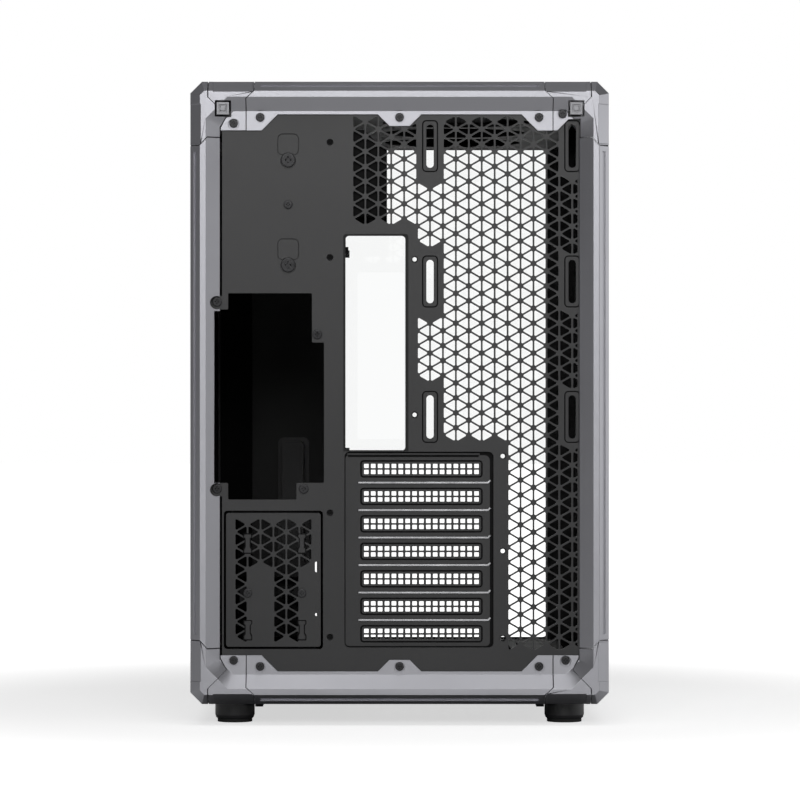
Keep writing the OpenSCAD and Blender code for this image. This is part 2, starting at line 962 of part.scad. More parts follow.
// The sunk pan that carries the slot covers
module slot_pan() {
  translate([slot_bay_x, slot_bay_z, panel_front + 0.2]) {
    linear_extrude(slot_bay_deep + sheet_t - 0.2)
      difference() {
        rounded(slot_bay_w + 2 * sheet_t, slot_bay_h + 2 * sheet_t, 3.5 + sheet_t);
        rounded(slot_bay_w - 0.1, slot_bay_h - 0.1, 3.5);
      }
  }
  translate([0, 0, slot_floor])
    linear_extrude(sheet_t)
      difference() {
        translate([slot_bay_x, slot_bay_z])
          rounded(slot_bay_w + sheet_t, slot_bay_h + sheet_t, 3.5);
        for (i = [0:slots - 1])
          translate([cover_left + cover_w / 2, slot_first - i * slot_pitch])
            rounded(cover_w + 2 * cover_gap, cover_h + 2 * cover_gap, 2.4);
      }
  // Ribs between the covers
  for (i = [0:slots - 2])
    translate([slot_bay_x + 1.5, slot_first - (i + 0.5) * slot_pitch, slot_floor - 1.2])
      linear_extrude(1.4)
        square([slot_bay_w - 12, 1.4], center = true);
  translate([slot_bay_x - 1, slot_first + 11, slot_floor - 1.6])
    linear_extrude(1.8)
      square([slot_bay_w - 8, 1.8], center = true);
  // Clamp rail behind the pan, for the covers' screws
  clamp_low = slot_first - (slots - 1) * slot_pitch - 8;
  clamp_x = slot_bay_x + slot_bay_w / 2;
  clamp_v = slot_floor - cover_proud + tab_level + sheet_t;
  translate([clamp_x, clamp_low, slot_floor])
    cube([sheet_t, slot_first + 8 - clamp_low, clamp_v + sheet_t - slot_floor]);
  difference() {
    translate([cover_right + 0.8, clamp_low, clamp_v])
      cube([clamp_x + 0.2 - cover_right - 0.8, slot_first + 8 - clamp_low, sheet_t]);
    for (p = cover_screws)
      translate([p.x, p.y, clamp_v - 1])
        cylinder(d = shank_d + 2 * screw_fit, h = sheet_t + 2);
  }
}

// How far the covers stand out of the pan, and where their tabs and screws are
cover_proud = 0.4;
tab_level = 8;
tab_screw = 4.5;
cover_screws = [
  for (i = [0:slots - 1])
    [cover_right - sheet_t + tab_screw, slot_first - i * slot_pitch]
];

module panel_folds() {
  psu_room = ear_r + 1;
  translate([panel_right - sheet_t, panel_low, panel_front + 0.2])
    cube([sheet_t, panel_high - panel_low, fold_w]);
  translate([panel_left, panel_low, panel_front + 0.2])
    cube([sheet_t, psu_holes[1].y - psu_room - panel_low, fold_w]);
  translate([panel_left, psu_holes[0].y + psu_room, panel_front + 0.2])
    cube([sheet_t, panel_high - psu_holes[0].y - psu_room, fold_w]);
  for (z = [panel_low, panel_high - sheet_t])
    translate([panel_left, z, panel_front + 0.2])
      cube([panel_right - panel_left, sheet_t, fold_w]);
}

// Outlines of the pads round the fan slots
module fan_pads(grow) {
  for (z = fan_z, x = [fan_left, fan_right])
    translate([x, z])
      rounded(fan_slot_w + 2 * (fan_rim + grow), fan_slot_h + 2 * (fan_rim + grow), fan_rim + grow);
}

// Raised pads round the fan slots, cut off where the frame covers the panel
module fan_rims() {
  rim_end = half_w - ring_in - 0.3;
  translate([0, 0, panel_front - 0.1])
    linear_extrude(0.3)
      difference() {
        fan_pads(0);
        for (z = fan_z, x = [fan_left, fan_right])
          translate([x, z])
            slot_shape(fan_slot_w, fan_slot_h);
        translate([rim_end, base_z])
          square([corner_in, body_h]);
      }
}

// The keyholes are closed from inside by one hung plate
module keyhole_plate() {
  plate_h = ceiling_z - 0.6 - key_z[1] + key_edge;
  color(sheet_black)
    on_rear() {
      difference() {
        translate([key_x - key_edge, key_z[1] - key_edge, panel_back])
          cube([2 * key_edge, plate_h, sheet_t]);
        for (z = concat(key_z, [key_screw_z]))
          translate([key_x, z, panel_back - 1])
            cylinder(d = shank_d + 2 * screw_fit, h = sheet_t + 2);
      }
      for (z = key_z)
        translate([key_x, z + key_slot_up, panel_front + 0.2])
          linear_extrude(sheet_t)
            difference() {
              rounded(key_slot - 1, key_slot_h - 1, 3.6);
              translate([0, -key_slot_up])
                circle(d = key_d + 1);
            }
      for (x = [key_x - key_edge, key_x + key_edge - sheet_t])
        translate([x, key_z[1] - key_edge, panel_back])
          cube([sheet_t, plate_h, 12]);
    }
}

module slot_cover(i) {
  holes = floor((cover_w - 4) / cover_pitch);
  first = -(holes - 1) * cover_pitch / 2;
  color(sheet_black)
    on_rear()
      translate([cover_left + cover_w / 2, slot_first - i * slot_pitch, slot_floor - cover_proud]) {
        linear_extrude(sheet_t)
          difference() {
            rounded(cover_w, cover_h, 2);
            for (k = [0:holes - 1], row = [-1, 1])
              translate([first + k * cover_pitch, row * 2.22])
                square(cover_hole, center = true);
          }
        // Tab that hooks behind the pan
        translate([-cover_w / 2 - 8.5, -2.5, cover_proud + sheet_t])
          cube([14, 5, sheet_t]);
        translate([-cover_w / 2 + 4, -2.5, 0.2])
          cube([sheet_t, 5, cover_proud + sheet_t]);
        // Tab that is screwed to the clamp rail
        translate([cover_w / 2 - sheet_t, -cover_h / 2 + 1, 0.2])
          cube([sheet_t, cover_h - 2, tab_level]);
        translate([cover_w / 2 - sheet_t, -cover_h / 2 + 1, tab_level])
          difference() {
            cube([8.7, cover_h - 2, sheet_t]);
            translate([tab_screw, cover_h / 2 - 1, -1])
              cylinder(d = shank_d + 2 * screw_fit, h = sheet_t + 2);
          }
      }
}

hook_w = 5.2;
module hook_shape() {
  rounded(hook_w, 9, 2);
  translate([0, 5])
    rounded(hook_w * 0.6, 8, 1);
}

module bay_cover() {
  columns = floor((bay_w - 4) / cell_w);
  side = (bay_w - columns * cell_w) / 2;
  color(sheet_black)
    on_rear() {
      translate([0, 0, panel_front + 0.1])
        linear_extrude(sheet_t)
          difference() {
            translate([(bay_left + bay_right) / 2, (bay_low + bay_top) / 2])
              rounded(bay_w, bay_h, 1.8);
            for (i = [0:columns - 1])
              lattice(bay_left + side, bay_top - 3, i, i, bay_low + 2.5 + bay_skip(i), bay_top - 2.5);
            for (p = bay_screws)
              translate(p)
                circle(d = shank_d + 2 * screw_fit);
            // Sight slot and index hole for the drives
            translate([bay_right - 3.2, bay_low + 59])
              slot_shape(2.2, 7.8);
            translate([bay_right - 3.2, bay_low + 23.8])
              circle(d = 2.2);
          }
      // Pressed hooks that hold the drive cage
      for (p = bay_screws, dz = [-29, 35])
        translate([p.x, p.y + dz, panel_front - 0.7])
          linear_extrude(1)
            hook_shape();
      // Folded edge that reaches behind the panel
      translate([(bay_left + bay_right) / 2, (bay_low + bay_top) / 2, panel_front + 0.3])
        linear_extrude(9)
          difference() {
            rounded(bay_w, bay_h, 1.8);
            rounded(bay_w - 2 * sheet_t, bay_h - 2 * sheet_t, 1);
          }
    }
}

// The columns that carry the hooks keep a plain foot
function bay_skip(i) = i == 1 || i == 2 || i == 5 ? bay_h * 0.55 : 0;

// Motherboard tray with folded edges, cable slots and a cooler opening
board_rear = panel_back_y + 1.6;
hole_cols = [for (d = [10.16, 165.1, 237.49]) board_rear + d];
hole_rows = [for (d = [4.9, 162.38, 286.82]) io_top - d];
slot_cut = [22, 74];
tray_fold = 7.5;
tray_low = floor_z + sheet_t;
grommet_z = [hole_rows[0] - 38, hole_rows[1] + 16, hole_rows[2] + 48];
grommet_y = min(hole_cols[2] + 34, tray_front - 30);

module tray() {
  color(sheet_black) {
    difference() {
      slab([-tray_x, panel_back_y, tray_low], [-tray_x + sheet_t, tray_front, ceiling_z]);
      for (z = grommet_z)
        translate([-tray_x - 1, grommet_y, z])
          rotate([90, 0, 90])
            linear_extrude(sheet_t + 2)
              rounded(slot_cut.x, slot_cut.y, 5);
      translate([-tray_x - 1, (hole_cols[0] + hole_cols[1]) / 2, (hole_rows[0] + hole_rows[1]) / 2])
        rotate([90, 0, 90])
          linear_extrude(sheet_t + 2)
            rounded(110, 100, 8);
      for (y = [hole_cols[0] + 30, hole_cols[1] - 10])
        translate([-tray_x - 1, y, ceiling_z - 34])
          rotate([90, 0, 90])
            linear_extrude(sheet_t + 2)
              rounded(60, 22, 5);
      for (y = hole_cols, z = hole_rows)
        translate([-tray_x - 1, y, z])
          rotate([0, 90, 0])
            cylinder(d = shank_d + 2 * screw_fit, h = sheet_t + 2);
    }
    // Edge folded behind the back panel's screws
    slab([-tray_x - tray_fold, panel_back_y, tray_low], [-tray_x, panel_back_y + sheet_t, ceiling_z]);
    // Flange beside the input-output opening, seen through the lattice
    on_rear()
      translate([0, 0, panel_back + 3])
        linear_extrude(sheet_t)
          polygon([
            [-tray_x + 0.6, flange_z[0]], [flange_x, flange_z[0]], [flange_x, flange_z[1] - flange_cut],
            [flange_x - flange_cut, flange_z[1]], [-tray_x + 0.6, flange_z[1]]
          ]);
  }
}
flange_x = lattice_x + 2.6 * cell_w;
flange_z = [io_top + 14.7, top_z - 35];
flange_cut = 16.5;

module standoffs() {
  color(screw_black)
    for (y = hole_cols, z = hole_rows)
      translate([-tray_x, y, z])
        rotate([0, 90, 0])
          difference() {
            union() {
              cylinder(d = shank_d, h = sheet_t);
              translate([0, 0, sheet_t])
                cylinder(d = standoff_d, h = standoff_h, $fn = 6);
            }
            translate([0, 0, sheet_t + 1])
              cylinder(d = 2.5, h = standoff_h);
          }
}

module cable_grommets() {
  color(plastic_black)
    for (z = grommet_z)
      translate([-tray_x, grommet_y, z])
        rotate([90, 0, 90])
          difference() {
            union() {
              linear_extrude(sheet_t)
                rounded(slot_cut.x - 0.2, slot_cut.y - 0.2, 4.9);
              for (level = [-1.5, sheet_t])
                translate([0, 0, level])
                  linear_extrude(1.5)
                    rounded(slot_cut.x + 6, slot_cut.y + 6, 8);
            }
            // Slit in the membrane
            for (s = [-1, 1])
              translate([0, 0, s > 0 ? sheet_t : -3])
                linear_extrude(3)
                  rounded(slot_cut.x - 6, slot_cut.y - 6, 3);
            translate([0, 0, -3])
              linear_extrude(9)
                square([1, slot_cut.y - 12], center = true);
          }
}

// Plain grid of vent slots on a plane, each vent_l along y and vent_w along x
module vent_grid(w, h) {
  columns = floor(w / vent_pitch);
  rows = floor(h / (vent_l + 5));
  for (i = [0:columns - 1], j = [0:rows - 1])
    translate([(i - (columns - 1) / 2) * vent_pitch, (j - (rows - 1) / 2) * (vent_l + 5)])
      square([vent_w, vent_l], center = true);
}

plate_left = panel_left + sheet_t;
plate_right = panel_right - sheet_t;
module floor_plate() {
  color(sheet_black)
    difference() {
      slab([plate_left, panel_back_y, floor_z], [plate_right, chassis_back_y, floor_z + sheet_t]);
      translate([(panel_right - tray_x) / 2, 10, floor_z - 1])
        linear_extrude(sheet_t + 3)
          vent_grid(panel_right + tray_x - 55, case_d - 150);
    }
}

// Steel sheet behind the front frame, open for the glass and for the vented side
chassis_rim = 30.5;
chassis_sill = floor_z + sheet_t + 1.3;
chassis_head = ceiling_z - 0.8;
guide_x = tray_x - 36.9;
guide_low = io_top + 17.7;
module front_chassis() {
  inner_z = (chassis_head - chassis_sill) / 2;
  color(sheet_black)
    on_front()
      translate([0, 0, chassis_v])
        linear_extrude(sheet_t)
          difference() {
            intersection() {
              translate([-half_w + frame_wall, base_z + frame_wall])
                square([case_w - 2 * frame_wall, body_h - 2 * frame_wall]);
              translate([0, mid_z])
                rotate([0, 0, 45])
                  square((case_w + body_h - 2 * corner_cut - 4 * frame_wall) / sqrt(2), center = true);
            }
            difference() {
              translate([(half_w - chassis_rim - tray_x + 1) / 2 + 0.1, chassis_sill + inner_z])
                rounded(half_w - chassis_rim + tray_x - 1, 2 * inner_z, 4);
              // Plate above the board's corner, for a cable guide
              translate([-tray_x - 1, guide_low])
                square([tray_x + 1 - guide_x, body_h]);
            }
            translate([-(half_w - chassis_rim + tray_x + 6) / 2, chassis_sill + inner_z])
              rounded(half_w - chassis_rim - tray_x - 6, 2 * inner_z, 4);
          }
}

// Filter sheet inside the vented side
filter_sheet = 0.8;
module left_filter() {
  rim_in = 1.5 + skin_t;
  color(plastic_black)
    slab([-half_w + skin_t, -skin_half_d + rim_in, skin_low + rim_in],
         [-half_w + skin_t + filter_sheet, skin_half_d - rim_in, skin_high - rim_in]);
}

// Tray for the top fans, with round openings and long screw slots
fan_hole_d = 112;
fan_screws = 105;
fan_step = 122;
module fan_tray() {
  mid_x = (panel_right - tray_x) / 2;
  color(sheet_black)
    difference() {
      slab([plate_left, panel_back_y, ceiling_z], [plate_right, chassis_back_y, ceiling_z + sheet_t]);
      for (k = [-1, 0, 1])
        translate([mid_x, k * fan_step, ceiling_z - 1])
          cylinder(d = fan_hole_d, h = sheet_t + 2, $fn = 64);
      for (k = [-1, 0, 1], s = [-1, 1], t = [-1, 1])
        translate([mid_x + s * fan_screws / 2, k * fan_step + t * fan_screws / 2, ceiling_z - 1])
          linear_extrude(sheet_t + 2)
            rotate([0, 0, 90])
              slot_shape(4.4, 12);
    }
}

// Open drive cage behind the bay cover, bent from one sheet, with the side holes of a drive
drive_holes = 101.6;
module drive_cage() {
  low = floor_z + sheet_t;
  y0 = panel_back_y + 14;
  left = bay_left + 2;
  right = bay_right - 2;
  shelf_z = bay_screws[0].y + 4.3;
  tab_y = -half_d + panel_back + 0.1;
  color(sheet_black) {
    difference() {
      slab([left, y0, low], [right, y0 + cage_d, bay_top]);
      slab([left + sheet_t, y0 - 1, low + sheet_t], [right - sheet_t, y0 + cage_d + 1, bay_top - sheet_t]);
      for (y = [y0 + 24, y0 + 24 + drive_holes], z = [low + 28, low + 86])
        translate([left - 1, y, z])
          rotate([0, 90, 0])
            cylinder(d = shank_d + 2 * screw_fit, h = bay_w);
    }
    slab([left, y0, shelf_z], [right, y0 + cage_d, shelf_z + sheet_t]);
    // Tabs of the shelf that the bay cover is screwed to
    for (p = bay_screws) {
      slab([p.x - 6, tab_y, shelf_z], [p.x + 6, y0 + 1, shelf_z + sheet_t]);
      difference() {
        slab([p.x - 6, tab_y, shelf_z - 10], [p.x + 6, tab_y + sheet_t, shelf_z + sheet_t]);
        translate([p.x, tab_y + sheet_t + 1, p.y])
          rotate([90, 0, 0])
            cylinder(d = shank_d + 2 * screw_fit, h = sheet_t + 2);
      }
    }
  }
}

module top_cover() {
  color(sheet_black) {
    difference() {
      slab([-cover_half_w, -skin_half_d, top_z - skin_t], [cover_half_w, skin_half_d, top_z]);
      translate([0, 0, top_z - skin_t - 1])
        linear_extrude(skin_t + 2)
          vent_grid(2 * cover_half_w - 24, 2 * skin_half_d - 30);
    }
    rim(cover_half_w - 1.5, skin_half_d - 1.5, top_z - glass_t, top_z - skin_t);
  }
}

module rim(w, d, low, high) {
  translate([0, 0, low])
    linear_extrude(high - low)
      difference() {
        square([2 * w, 2 * d], center = true);
        square([2 * w - 2 * skin_t, 2 * d - 2 * skin_t], center = true);
      }
}

tab_x = 29;
module pull_tab() {
  color(plastic_black)
    translate([tab_x, -skin_half_d + 8, top_z])
      linear_extrude(1)
        rounded(27, 18, 3);
}

filter_t = 3;
skid_w = 5.7;
skid_h = 3.2;
module bottom_filter() {
  w = half_w - rail_foot - skin_gap;
  color(plastic_black) {
    difference() {
      slab([-w, -skin_half_d, base_z], [w, skin_half_d, base_z + filter_t]);
      translate([0, 0, base_z - 1])
        linear_extrude(filter_t + 2)
          vent_grid(2 * w - 24, 2 * skin_half_d - 30);
    }
    // Ears that lie on the bottom rails
    for (s = [-1, 1])
      translate([s * w - 5, -skin_half_d, base_z + frame_wall])
        cube([10, 2 * skin_half_d, filter_t - frame_wall]);
    for (s = [-1, 1])
      translate([s * (w - skid_w / 2 + 0.3), 0, base_z - skid_h])
        rotate([90, 0, 90])
          linear_extrude(skid_w, center = true)
            polygon([
              [-skin_half_d, skid_h + 0.5], [-skin_half_d, skid_h - 1], [-skin_half_d + 2, 0],
              [skin_half_d - 2, 0], [skin_half_d, skid_h - 1], [skin_half_d, skid_h + 0.5]
            ]);
  }
}

module left_panel() {
  color(sheet_black) {
    difference() {
      slab([-half_w, -skin_half_d, skin_low], [-half_w + skin_t, skin_half_d, skin_high]);
      translate([-half_w - 1, 0, mid_z])
        rotate([90, 0, 90])
          linear_extrude(skin_t + 2)
            vent_grid(2 * skin_half_d - 130, skin_high - skin_low - 130);
    }
    translate([-half_w + skin_t, 0, mid_z])
      rotate([90, 0, 90])
        linear_extrude(glass_t - skin_t)
          difference() {
            square([2 * skin_half_d - 3, skin_high - skin_low - 3], center = true);
            square([2 * skin_half_d - 3 - 2 * skin_t, skin_high - skin_low - 3 - 2 * skin_t], center = true);
          }
  }
}

module side_glass() {
  color(clear_glass)
    slab([half_w - glass_t, -skin_half_d, skin_low], [half_w, skin_half_d, skin_high]);
}

// The clear front covers the board's chamber, the vented panel the rest
front_y = half_d - tab_back;
module front_glass() {
  color(clear_glass)
    slab([-tray_x, front_y - glass_t, panel_low], [panel_right, front_y, panel_high]);
}

io_box_x = -tray_x - 42;
io_box_low = base_z + io_box_up;
module front_vent_panel() {
  left = -panel_right;
  right = -tray_x - skin_gap;
  color(sheet_black)
    difference() {
      slab([left, front_y - skin_t, panel_low], [right, front_y, panel_high]);
      translate([io_box_x, front_y + 1, io_box_low + io_box_h / 2])
        rotate([90, 0, 0])
          linear_extrude(skin_t + 2)
            rounded(io_box_w + 1, io_box_h + 1, 4);
      translate([(left + right) / 2, front_y + 1, (key_z[1] + panel_high) / 2])
        rotate([90, 0, 0])
          linear_extrude(skin_t + 2)
            vent_grid(right - left - 16, panel_high - key_z[1] - 20);
      translate([right - 16.4, front_y + 1, base_z + 68.5])
        rotate([90, 0, 0])
          linear_extrude(skin_t + 2)
            vent_grid(22, 120);
    }
}

// Connector housing, drawn looking at the front with z down into it
box_deep = 26;
io_face = front_y + 1.5;
power_z = io_box_h - 14;
reset_z = power_z - 18;
port_z = [reset_z - 16, reset_z - 33, reset_z - 54, reset_z - 72];
port_w = [9.2, 9.2, 13.4, 13.4];
port_h = [3.4, 3.4, 5.8, 5.8];

module at_connectors() {
  translate([io_box_x, io_face, io_box_low])
    mirror([0, 1, -1])
      children();
}

module connector_housing() {
  color(plastic_black)
    at_connectors()
      difference() {
        union() {
          translate([0, io_box_h / 2, -box_deep])
            linear_extrude(box_deep)
              rounded(io_box_w, io_box_h, 3.5);
          translate([0, io_box_h / 2, -io_face + front_y - skin_t - 2])
            linear_extrude(2)
              rounded(io_box_w + 8, io_box_h + 6, 5);
        }
        translate([0, power_z, -9])
          cylinder(d = power_d + 2 * button_gap, h = 10);
        translate([0, reset_z, -9])
          cylinder(d = reset_d + 2 * button_gap, h = 10);
        for (k = [0:3])
          translate([0, port_z[k], -14])
            linear_extrude(15)
              square([port_h[k], port_w[k]], center = true);
      }
}

module port_shells() {
  color([0.7, 0.7, 0.72])
    at_connectors()
      for (k = [0:3])
        translate([0, port_z[k], -13.5])
          linear_extrude(13)
            difference() {
              square([port_h[k], port_w[k]], center = true);
              square([port_h[k] - 0.8, port_w[k] - 0.8], center = true);
            }
}

module button(d, z) {
  at_connectors()
    translate([0, z, -8 + press]) {
      cylinder(d = d, h = 8 - press + 0.8);
    }
}

module power_button() {
  color(frame_grey)
    button(power_d, power_z);
}

module reset_button() {
  color(plastic_black)
    button(reset_d, reset_z);
}

module at_foot(side, way) {
  translate([side * (half_w - foot_in), way * (half_d - foot_back), 0])
    children();
}

// A foot is a turned cup with a rubber pad pressed into its underside
foot_edge = 1.5;
module foot(side, way) {
  color(plastic_black)
    at_foot(side, way)
      difference() {
        translate([0, 0, pad_t])
          rotate_extrude()
            polygon([[0, 0], [foot_d / 2 - foot_edge, 0], [foot_d / 2 - foot_edge / 2, foot_edge / 2],
                     [foot_d / 2, foot_edge * 2], [foot_d / 2, foot_h - pad_t], [0, foot_h - pad_t]]);
        translate([0, 0, -1])
          cylinder(d = foot_d - 4 * foot_edge, h = pad_t + 2);
      }
}

module foot_pads() {
  color([0.05, 0.05, 0.05])
    for (side = [-1, 1], way = [-1, 1])
      at_foot(side, way) {
        cylinder(d = foot_d - 2.4 * foot_edge, h = pad_t);
        cylinder(d = foot_d - 4 * foot_edge, h = pad_t + 1);
      }
}

// Cross-recessed screw: the head's face at z = 0, shank going back
module screw(length, across = head_d) {
  difference() {
    union() {
      cylinder(d = across, h = head_h);
      cylinder(d = shank_d, h = length);
    }
    for (turn = [0, 90])
      rotate([0, 0, turn])
        translate([-head_d * 0.26, -head_d * 0.06, -0.5])
          cube([head_d * 0.52, head_d * 0.12, 0.5 + head_h * 0.6]);
  }
}

function rail_screw_places() = [
  for (end = [-1, 1], x = [-rail_screw_x, 0, rail_screw_x])
    [x, mid_z + end * (body_h / 2 - rail_screw_y)]
];
function bracket_screw_at(side, end) =
  bracket_screw + (side > 0 && end > 0 ? [2.2, -7] : [0, 0]);
function bracket_screw_places() = [
  for (end = [-1, 1], side = [-1, 1])
    let (p = bracket_screw_at(side, end))
      [side * (half_w - p.x), mid_z + end * (body_h / 2 - p.y)]
];
function frame_screw_places() = concat(rail_screw_places(), bracket_screw_places());

module case_screws() {
  seat = inner_bevel_d + seat_deep;
  color(screw_black)
    on_rear() {
      for (p = frame_screw_places())
        translate([p.x, p.y, seat - head_h])
          screw(head_h + 2.2);
      for (p = psu_holes)
        translate([p.x, p.y, panel_front - head_h])
          screw(head_h + 5, supply_head_d);
      for (p = bay_screws)
        translate([p.x, p.y, panel_front + 0.1 - head_h])
          screw(head_h + 4);
      for (z = key_z)
        translate([key_x, z, panel_back - head_h])
          screw(head_h + 4, key_d - 0.8);
      translate([key_x, key_screw_z, panel_front - head_h])
        screw(head_h + 4);
      for (p = cover_screws)
        translate([p.x, p.y, slot_floor - cover_proud + tab_level - head_h])
          screw(head_h + 5);
    }
}

rear_rail(1);  // rear_top_rail
rear_rail(-1);  // rear_bottom_rail
rear_left_post();
rear_right_post();
rear_cap(-1, 1);  // rear_cap_top_left
rear_cap(1, 1);  // rear_cap_top_right
rear_cap(-1, -1);  // rear_cap_bottom_left
rear_cap(1, -1);  // rear_cap_bottom_right
rear_cheek(-1, 1);  // rear_cheek_top_left
rear_cheek(1, 1);  // rear_cheek_top_right
rear_cheek(-1, -1);  // rear_cheek_bottom_left
rear_cheek(1, -1);  // rear_cheek_bottom_right
front_rail(1);  // front_top_rail
front_rail(-1);  // front_bottom_rail
front_post(-1);  // front_left_post
front_post(1);  // front_right_post
front_corner(-1, 1);  // front_corner_top_left
front_corner(1, 1);  // front_corner_top_right
front_corner(-1, -1);  // front_corner_bottom_left
front_corner(1, -1);  // front_corner_bottom_right
depth_rail(-1, 1);  // depth_rail_top_left
depth_rail(1, 1);  // depth_rail_top_right
depth_rail(-1, -1);  // depth_rail_bottom_left
depth_rail(1, -1);  // depth_rail_bottom_right
snap_pins();
rear_panel();
bay_cover();
slot_cover(0);  // slot_cover_1
slot_cover(1);  // slot_cover_2
slot_cover(2);  // slot_cover_3
slot_cover(3);  // slot_cover_4
slot_cover(4);  // slot_cover_5
slot_cover(5);  // slot_cover_6
slot_cover(6);  // slot_cover_7
tray();
standoffs();
cable_grommets();
floor_plate();
fan_tray();
drive_cage();
keyhole_plate();
front_chassis();
left_filter();
top_cover();
pull_tab();
bottom_filter();
left_panel();
side_glass();
front_glass();
front_vent_panel();
connector_housing();
port_shells();
power_button();
reset_button();
foot(-1, -1);  // foot_rear_left
foot(1, -1);  // foot_rear_right
foot(-1, 1);  // foot_front_left
foot(1, 1);  // foot_front_right
foot_pads();
case_screws();
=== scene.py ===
import json
import math
import bpy
from mathutils import Matrix, Vector


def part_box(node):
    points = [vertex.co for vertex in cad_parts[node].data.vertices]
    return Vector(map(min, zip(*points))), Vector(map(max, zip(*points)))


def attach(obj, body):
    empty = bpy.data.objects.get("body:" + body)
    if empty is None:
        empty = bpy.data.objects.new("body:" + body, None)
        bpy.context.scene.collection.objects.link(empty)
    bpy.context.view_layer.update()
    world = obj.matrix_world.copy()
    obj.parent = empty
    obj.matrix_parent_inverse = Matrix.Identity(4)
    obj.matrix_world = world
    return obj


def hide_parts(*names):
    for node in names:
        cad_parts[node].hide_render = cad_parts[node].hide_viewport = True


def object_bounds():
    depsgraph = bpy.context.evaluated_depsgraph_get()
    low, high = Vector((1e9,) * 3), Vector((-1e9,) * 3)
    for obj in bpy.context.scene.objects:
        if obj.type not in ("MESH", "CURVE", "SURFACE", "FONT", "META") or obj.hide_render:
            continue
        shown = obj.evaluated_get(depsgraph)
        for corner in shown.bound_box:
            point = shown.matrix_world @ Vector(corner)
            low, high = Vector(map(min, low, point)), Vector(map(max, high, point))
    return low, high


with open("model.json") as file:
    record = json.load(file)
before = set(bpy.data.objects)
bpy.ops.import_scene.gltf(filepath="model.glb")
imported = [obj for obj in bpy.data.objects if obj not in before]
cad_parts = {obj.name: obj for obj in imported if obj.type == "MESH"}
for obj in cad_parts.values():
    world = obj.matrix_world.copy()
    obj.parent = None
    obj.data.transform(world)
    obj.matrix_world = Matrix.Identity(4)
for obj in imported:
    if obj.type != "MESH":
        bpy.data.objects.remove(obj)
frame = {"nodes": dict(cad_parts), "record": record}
cadLow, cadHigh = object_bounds()
nodes = frame["nodes"]
bodyNodes = frame["record"]["behaviour"]["bodies"]
mm = 0.001
print("frame loaded:", len(nodes), "nodes")


def deselectAll():
    if bpy.context.object and bpy.context.object.mode != "OBJECT":
        bpy.ops.object.mode_set(mode="OBJECT")
    bpy.ops.object.select_all(action="DESELECT")


def makeActive(piece):
    deselectAll()
    piece.select_set(True)
    bpy.context.view_layer.objects.active = piece


def selectEverything(piece):
    makeActive(piece)
    bpy.ops.object.mode_set(mode="EDIT")
    bpy.ops.mesh.select_mode(type="VERT")
    bpy.ops.mesh.select_all(action="SELECT")


def selectFaces(piece, wanted):
    # leaves the piece in edit mode with the wanted faces selected
    makeActive(piece)
    bpy.ops.object.mode_set(mode="EDIT")
    bpy.ops.mesh.select_mode(type="FACE")
    bpy.ops.mesh.select_all(action="DESELECT")
    bpy.ops.object.mode_set(mode="OBJECT")
    for face in piece.data.polygons:
        face.select = wanted(face)
    bpy.ops.object.mode_set(mode="EDIT")


def selectEdges(piece, wanted):
    # leaves the piece in edit mode with the wanted edges selected
    makeActive(piece)
    bpy.ops.object.mode_set(mode="EDIT")
    bpy.ops.mesh.select_mode(type="EDGE")
    bpy.ops.mesh.select_all(action="DESELECT")
    bpy.ops.object.mode_set(mode="OBJECT")
    corners = piece.data.vertices
    for edge in piece.data.edges:
        edge.select = wanted(corners[edge.vertices[0]].co, corners[edge.vertices[1]].co)
    bpy.ops.object.mode_set(mode="EDIT")


def backToObject():
    bpy.ops.object.mode_set(mode="OBJECT")


def applyModifier(piece, kind, **settings):
    makeActive(piece)
    modifier = piece.modifiers.new(kind.title(), kind)
    for name, value in settings.items():
        setattr(modifier, name, value)
    bpy.ops.object.modifier_apply(modifier=modifier.name)


def smoothShade(piece, angle=35):
    makeActive(piece)
    bpy.ops.object.shade_smooth_by_angle(angle=math.radians(angle))
    applyModifier(piece, "WEIGHTED_NORMAL", keep_sharp=True, weight=90)


def roundEdges(piece, width, segments=2, angle=28):
    applyModifier(piece, "BEVEL", width=width, segments=segments, limit_method="ANGLE",
                  angle_limit=math.radians(angle))
    smoothShade(piece)


def settle(piece):
    # the finished piece's object sits at the origin, with its place in its mesh
    makeActive(piece)
    bpy.ops.object.transform_apply(location=True, rotation=True, scale=True)


def cadCopy(nodeName):
    piece = bpy.data.objects.new(nodeName + "_finished", nodes[nodeName].data.copy())
    bpy.context.scene.collection.objects.link(piece)
    selectEverything(piece)
    bpy.ops.mesh.remove_doubles(threshold=0.005 * mm)
    bpy.ops.mesh.dissolve_limited(angle_limit=math.radians(0.4))
    backToObject()
    return piece


def bodyOf(nodeName):
    for body, members in bodyNodes.items():
        if nodeName in members:
            return body


def finishPiece(piece, slotName, body="case", replaced=(), finish=None):
    piece.data.materials.clear()
    piece.data.materials.append(finishes[finish or slotName])
    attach(piece, body)
    if replaced:
        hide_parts(*replaced)


def joinPieces(pieces, name):
    deselectAll()
    for piece in pieces:
        piece.select_set(True)
    bpy.context.view_layer.objects.active = pieces[0]
    if len(pieces) > 1:
        bpy.ops.object.join()
    joined = bpy.context.view_layer.objects.active
    joined.name = name
    return joined


def placedCopy(model, offset):
    mesh = model.data.copy()
    for corner in mesh.vertices:
        corner.co += Vector(offset)
    piece = bpy.data.objects.new(model.name, mesh)
    bpy.context.scene.collection.objects.link(piece)
    return piece


